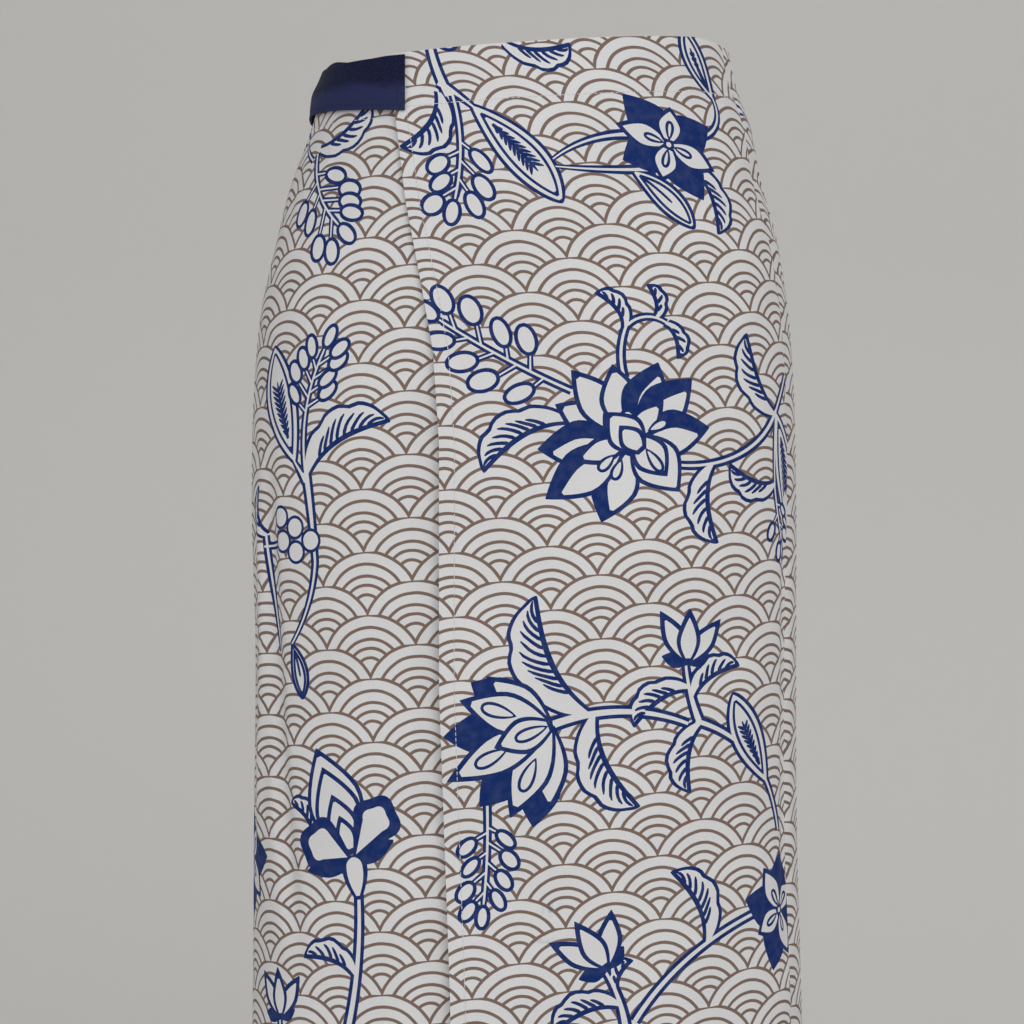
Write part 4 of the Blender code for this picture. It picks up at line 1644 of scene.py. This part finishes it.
def printed_cotton(name, ground, waves, navy):
    """Cotton printed with the brown waves and the blue drawing."""
    nodes = Nodes(name)
    flat = nodes.add("ShaderNodeUVMap", uv_map="print").outputs[0]
    wander = nodes.vector("SUBTRACT", nodes.noise(flat, DRIFT, output="Color"), (0.5, 0.5, 0.5))
    drift = nodes.scaled(wander, DRIFT_REACH)
    place = nodes.add("ShaderNodeSeparateXYZ", nodes.vector("ADD", flat, drift)).outputs
    lines = wave_lines(nodes, place[0], place[1])
    ink = nodes.add("ShaderNodeAttribute", attribute_name="ink").outputs["Fac"]
    on_ground = nodes.math("LESS_THAN", ink, (GROUND + RESERVED) / 2)
    on_navy = nodes.math("GREATER_THAN", ink, (RESERVED + NAVY) / 2)
    color = nodes.mix(nodes.math("MULTIPLY", lines, on_ground), ground, waves)
    color = nodes.mix(nodes.math("MULTIPLY", on_navy, nodes.mottled(flat, WORN)), color, navy)
    color = nodes.mix(nodes.math("MULTIPLY", smudges(nodes, flat), SMUDGE_INK), color, navy)
    even = nodes.math("MULTIPLY", nodes.mottled(flat, CLOUDS), nodes.mottled(flat, SPECKS))
    nodes.feed(nodes.shader["Base Color"], nodes.scaled(color, even))
    cotton_surface(nodes, flat, PRINT_ROUGHNESS, PRINT_WEAVE)
    return nodes.material


def navy_cotton():
    """The band's plain cotton, painted paler on its standing lower half as painted light, and
    darker above it as painted shade.
    """
    nodes = Nodes("navy_cotton")
    place = nodes.add("ShaderNodeTexCoord").outputs["Object"]
    height = nodes.add("ShaderNodeSeparateXYZ", place).outputs[2]
    cloudy = nodes.math("MULTIPLY", nodes.mottled(place, BAND_CLOUDS), BAND_BEND_SOFT)
    uneven = nodes.math("ADD", height, cloudy)
    # painted light: below the bend the band takes the paler navy, above it the darker navy of
    # painted shade
    low = nodes.between(uneven, BAND_BEND - BAND_BEND_SOFT, BAND_BEND + BAND_BEND_SOFT, 1.0, 0.0)
    flecks = nodes.math("MULTIPLY", nodes.mottled(place, BAND_FLECKS), BAND_FLECK_SHARE)
    color = nodes.mix(flecks, nodes.mix(low, BAND_PAINTED_SHADE_NAVY, BAND_PAINTED_LIGHT_NAVY), BAND_FLECK)
    nodes.feed(nodes.shader["Base Color"], color)
    cotton_surface(nodes, place, BAND_ROUGHNESS, BAND_WEAVE)
    return nodes.material


def thread(name, color):
    """Sewing thread, darker in its twists."""
    nodes = Nodes(name)
    place = nodes.add("ShaderNodeTexCoord").outputs["Object"]
    dark = tuple(THREAD_SHADE * part for part in color[:3]) + (1,)
    nodes.feed(nodes.shader["Base Color"], nodes.mix(nodes.mottled(place, TWIST), dark, color))
    nodes.shader["Roughness"].default_value = THREAD_ROUGHNESS
    return nodes.material


# ---- stage, camera and light ----
SENSOR_WIDTH = 36.0         # millimetres, as is the lens
LENS = 102.66
CAMERA_PLACE = (-0.0096, -2.0, -0.31)
FLOOR = -1.060              # height of the studio's floor
STUDIO_SIZE = 24.0          # half of its width, and how far it comes forward
STUDIO_BACK = 3.0           # where its wall stands
STUDIO_RISE = 9.0           # the wall's height
STUDIO_BEND = 1.2           # radius between the floor and the wall
STUDIO_STEPS = 16
STUDIO_PAPER = (0.80, 0.79, 0.77, 1)
PAPER_ROUGHNESS = 0.9
SKY = (1.0, 0.99, 0.98, 1)
SKY_STRENGTH = 0.39
LIGHT_AIM = (0, 0, -0.4)
LIGHTS = (
    # name, place, width and height, power
    ("key", (0.9, -3.2, 1.1), (2.4, 2.4), 53),
    ("fill", (-2.6, -2.0, 0.4), (1.6, 2.0), 12),
    ("rear", (0.6, 3.0, 1.6), (3.2, 2.6), 26),
)


def camera():
    made = bpy.data.cameras.new("camera")
    made.sensor_width = SENSOR_WIDTH
    made.lens = LENS
    seen = linked("camera", made)
    seen.location = CAMERA_PLACE
    seen.rotation_euler = (math.pi / 2, 0, 0)
    bpy.context.scene.camera = seen


def area_light(name, place, size, power):
    made = bpy.data.lights.new(name, "AREA")
    made.shape = "RECTANGLE"
    made.size, made.size_y = size
    made.energy = power
    lamp = linked(name, made)
    lamp.location = place
    aim = Vector(np.subtract(LIGHT_AIM, place))
    lamp.rotation_euler = aim.to_track_quat("-Z", "Y").to_euler()


def studio():
    """A floor that bends up into a wall, a pale sky and three soft lights."""
    profile = [(-STUDIO_SIZE, 0.0)]
    for k in range(STUDIO_STEPS + 1):
        turn = math.pi / 2 * k / STUDIO_STEPS
        y = STUDIO_BACK - STUDIO_BEND + STUDIO_BEND * math.sin(turn)
        profile.append((y, STUDIO_BEND - STUDIO_BEND * math.cos(turn)))
    profile.append((STUDIO_BACK, STUDIO_RISE))
    verts = [(x, y, FLOOR + z) for y, z in profile for x in (-STUDIO_SIZE, STUDIO_SIZE)]
    faces = [(2 * k, 2 * k + 1, 2 * k + 3, 2 * k + 2) for k in range(len(profile) - 1)]
    paper = Nodes("studio_paper")
    paper.shader["Base Color"].default_value = STUDIO_PAPER
    paper.shader["Roughness"].default_value = PAPER_ROUGHNESS
    smooth_body("floor", verts, faces, paper.material)
    world = bpy.data.worlds.new("studio")
    bpy.context.scene.world = world
    world.use_nodes = True
    background = world.node_tree.nodes["Background"].inputs
    background["Color"].default_value = SKY
    background["Strength"].default_value = SKY_STRENGTH
    for light in LIGHTS:
        area_light(*light)


# ---- the pieces ----
# Each as it was cut: width across, length down, and its area where it is shaped.
OVER_CUT = dict(flat=(0.312, 1.000), area=0.246)
UNDER_CUT = dict(flat=(0.418, 0.985), area=0.400)
BACK_CUT = dict(flat=(0.534, 0.995), area=0.510)


def settle(piece, node):
    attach(piece, "root")
    if node:
        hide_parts(node)


def main():
    camera()
    studio()
    bpy.context.scene.view_settings.view_transform = "Standard"
    face = printed_cotton("printed_cotton", **PRINT_FACE)
    reverse = printed_cotton("printed_cotton_reverse", **PRINT_REVERSE)
    panels = OverFront(OVER_LIE), UnderFront(UNDER_LIE), Back(BACK_LIE)
    sewn = panel_stitches(*panels, thread("white_thread", WHITE_THREAD))
    band = waist_band(navy_cotton())
    band_sewn = band_stitches(thread("navy_thread", NAVY_THREAD))
    for panel, lines, name, node, slot, motifs, cut, rests_on in zip(
        panels,
        sewn,
        ("over_panel", "under_panel", "back_panel"),
        ("over_front", "under_front", "back"),
        ("over_print", "under_print", "back_print"),
        (OVER_MOTIFS, UNDER_MOTIFS, BACK_MOTIFS),
        (OVER_CUT, UNDER_CUT, BACK_CUT),
        (["under_front"], [], []),
    ):
        made = printed_panel(name, panel, drawn(motifs), (face, reverse))
        settle(made, node)
        settle(lines, None)
    settle(band, "waist_band")
    settle(band_sewn, None)


main()
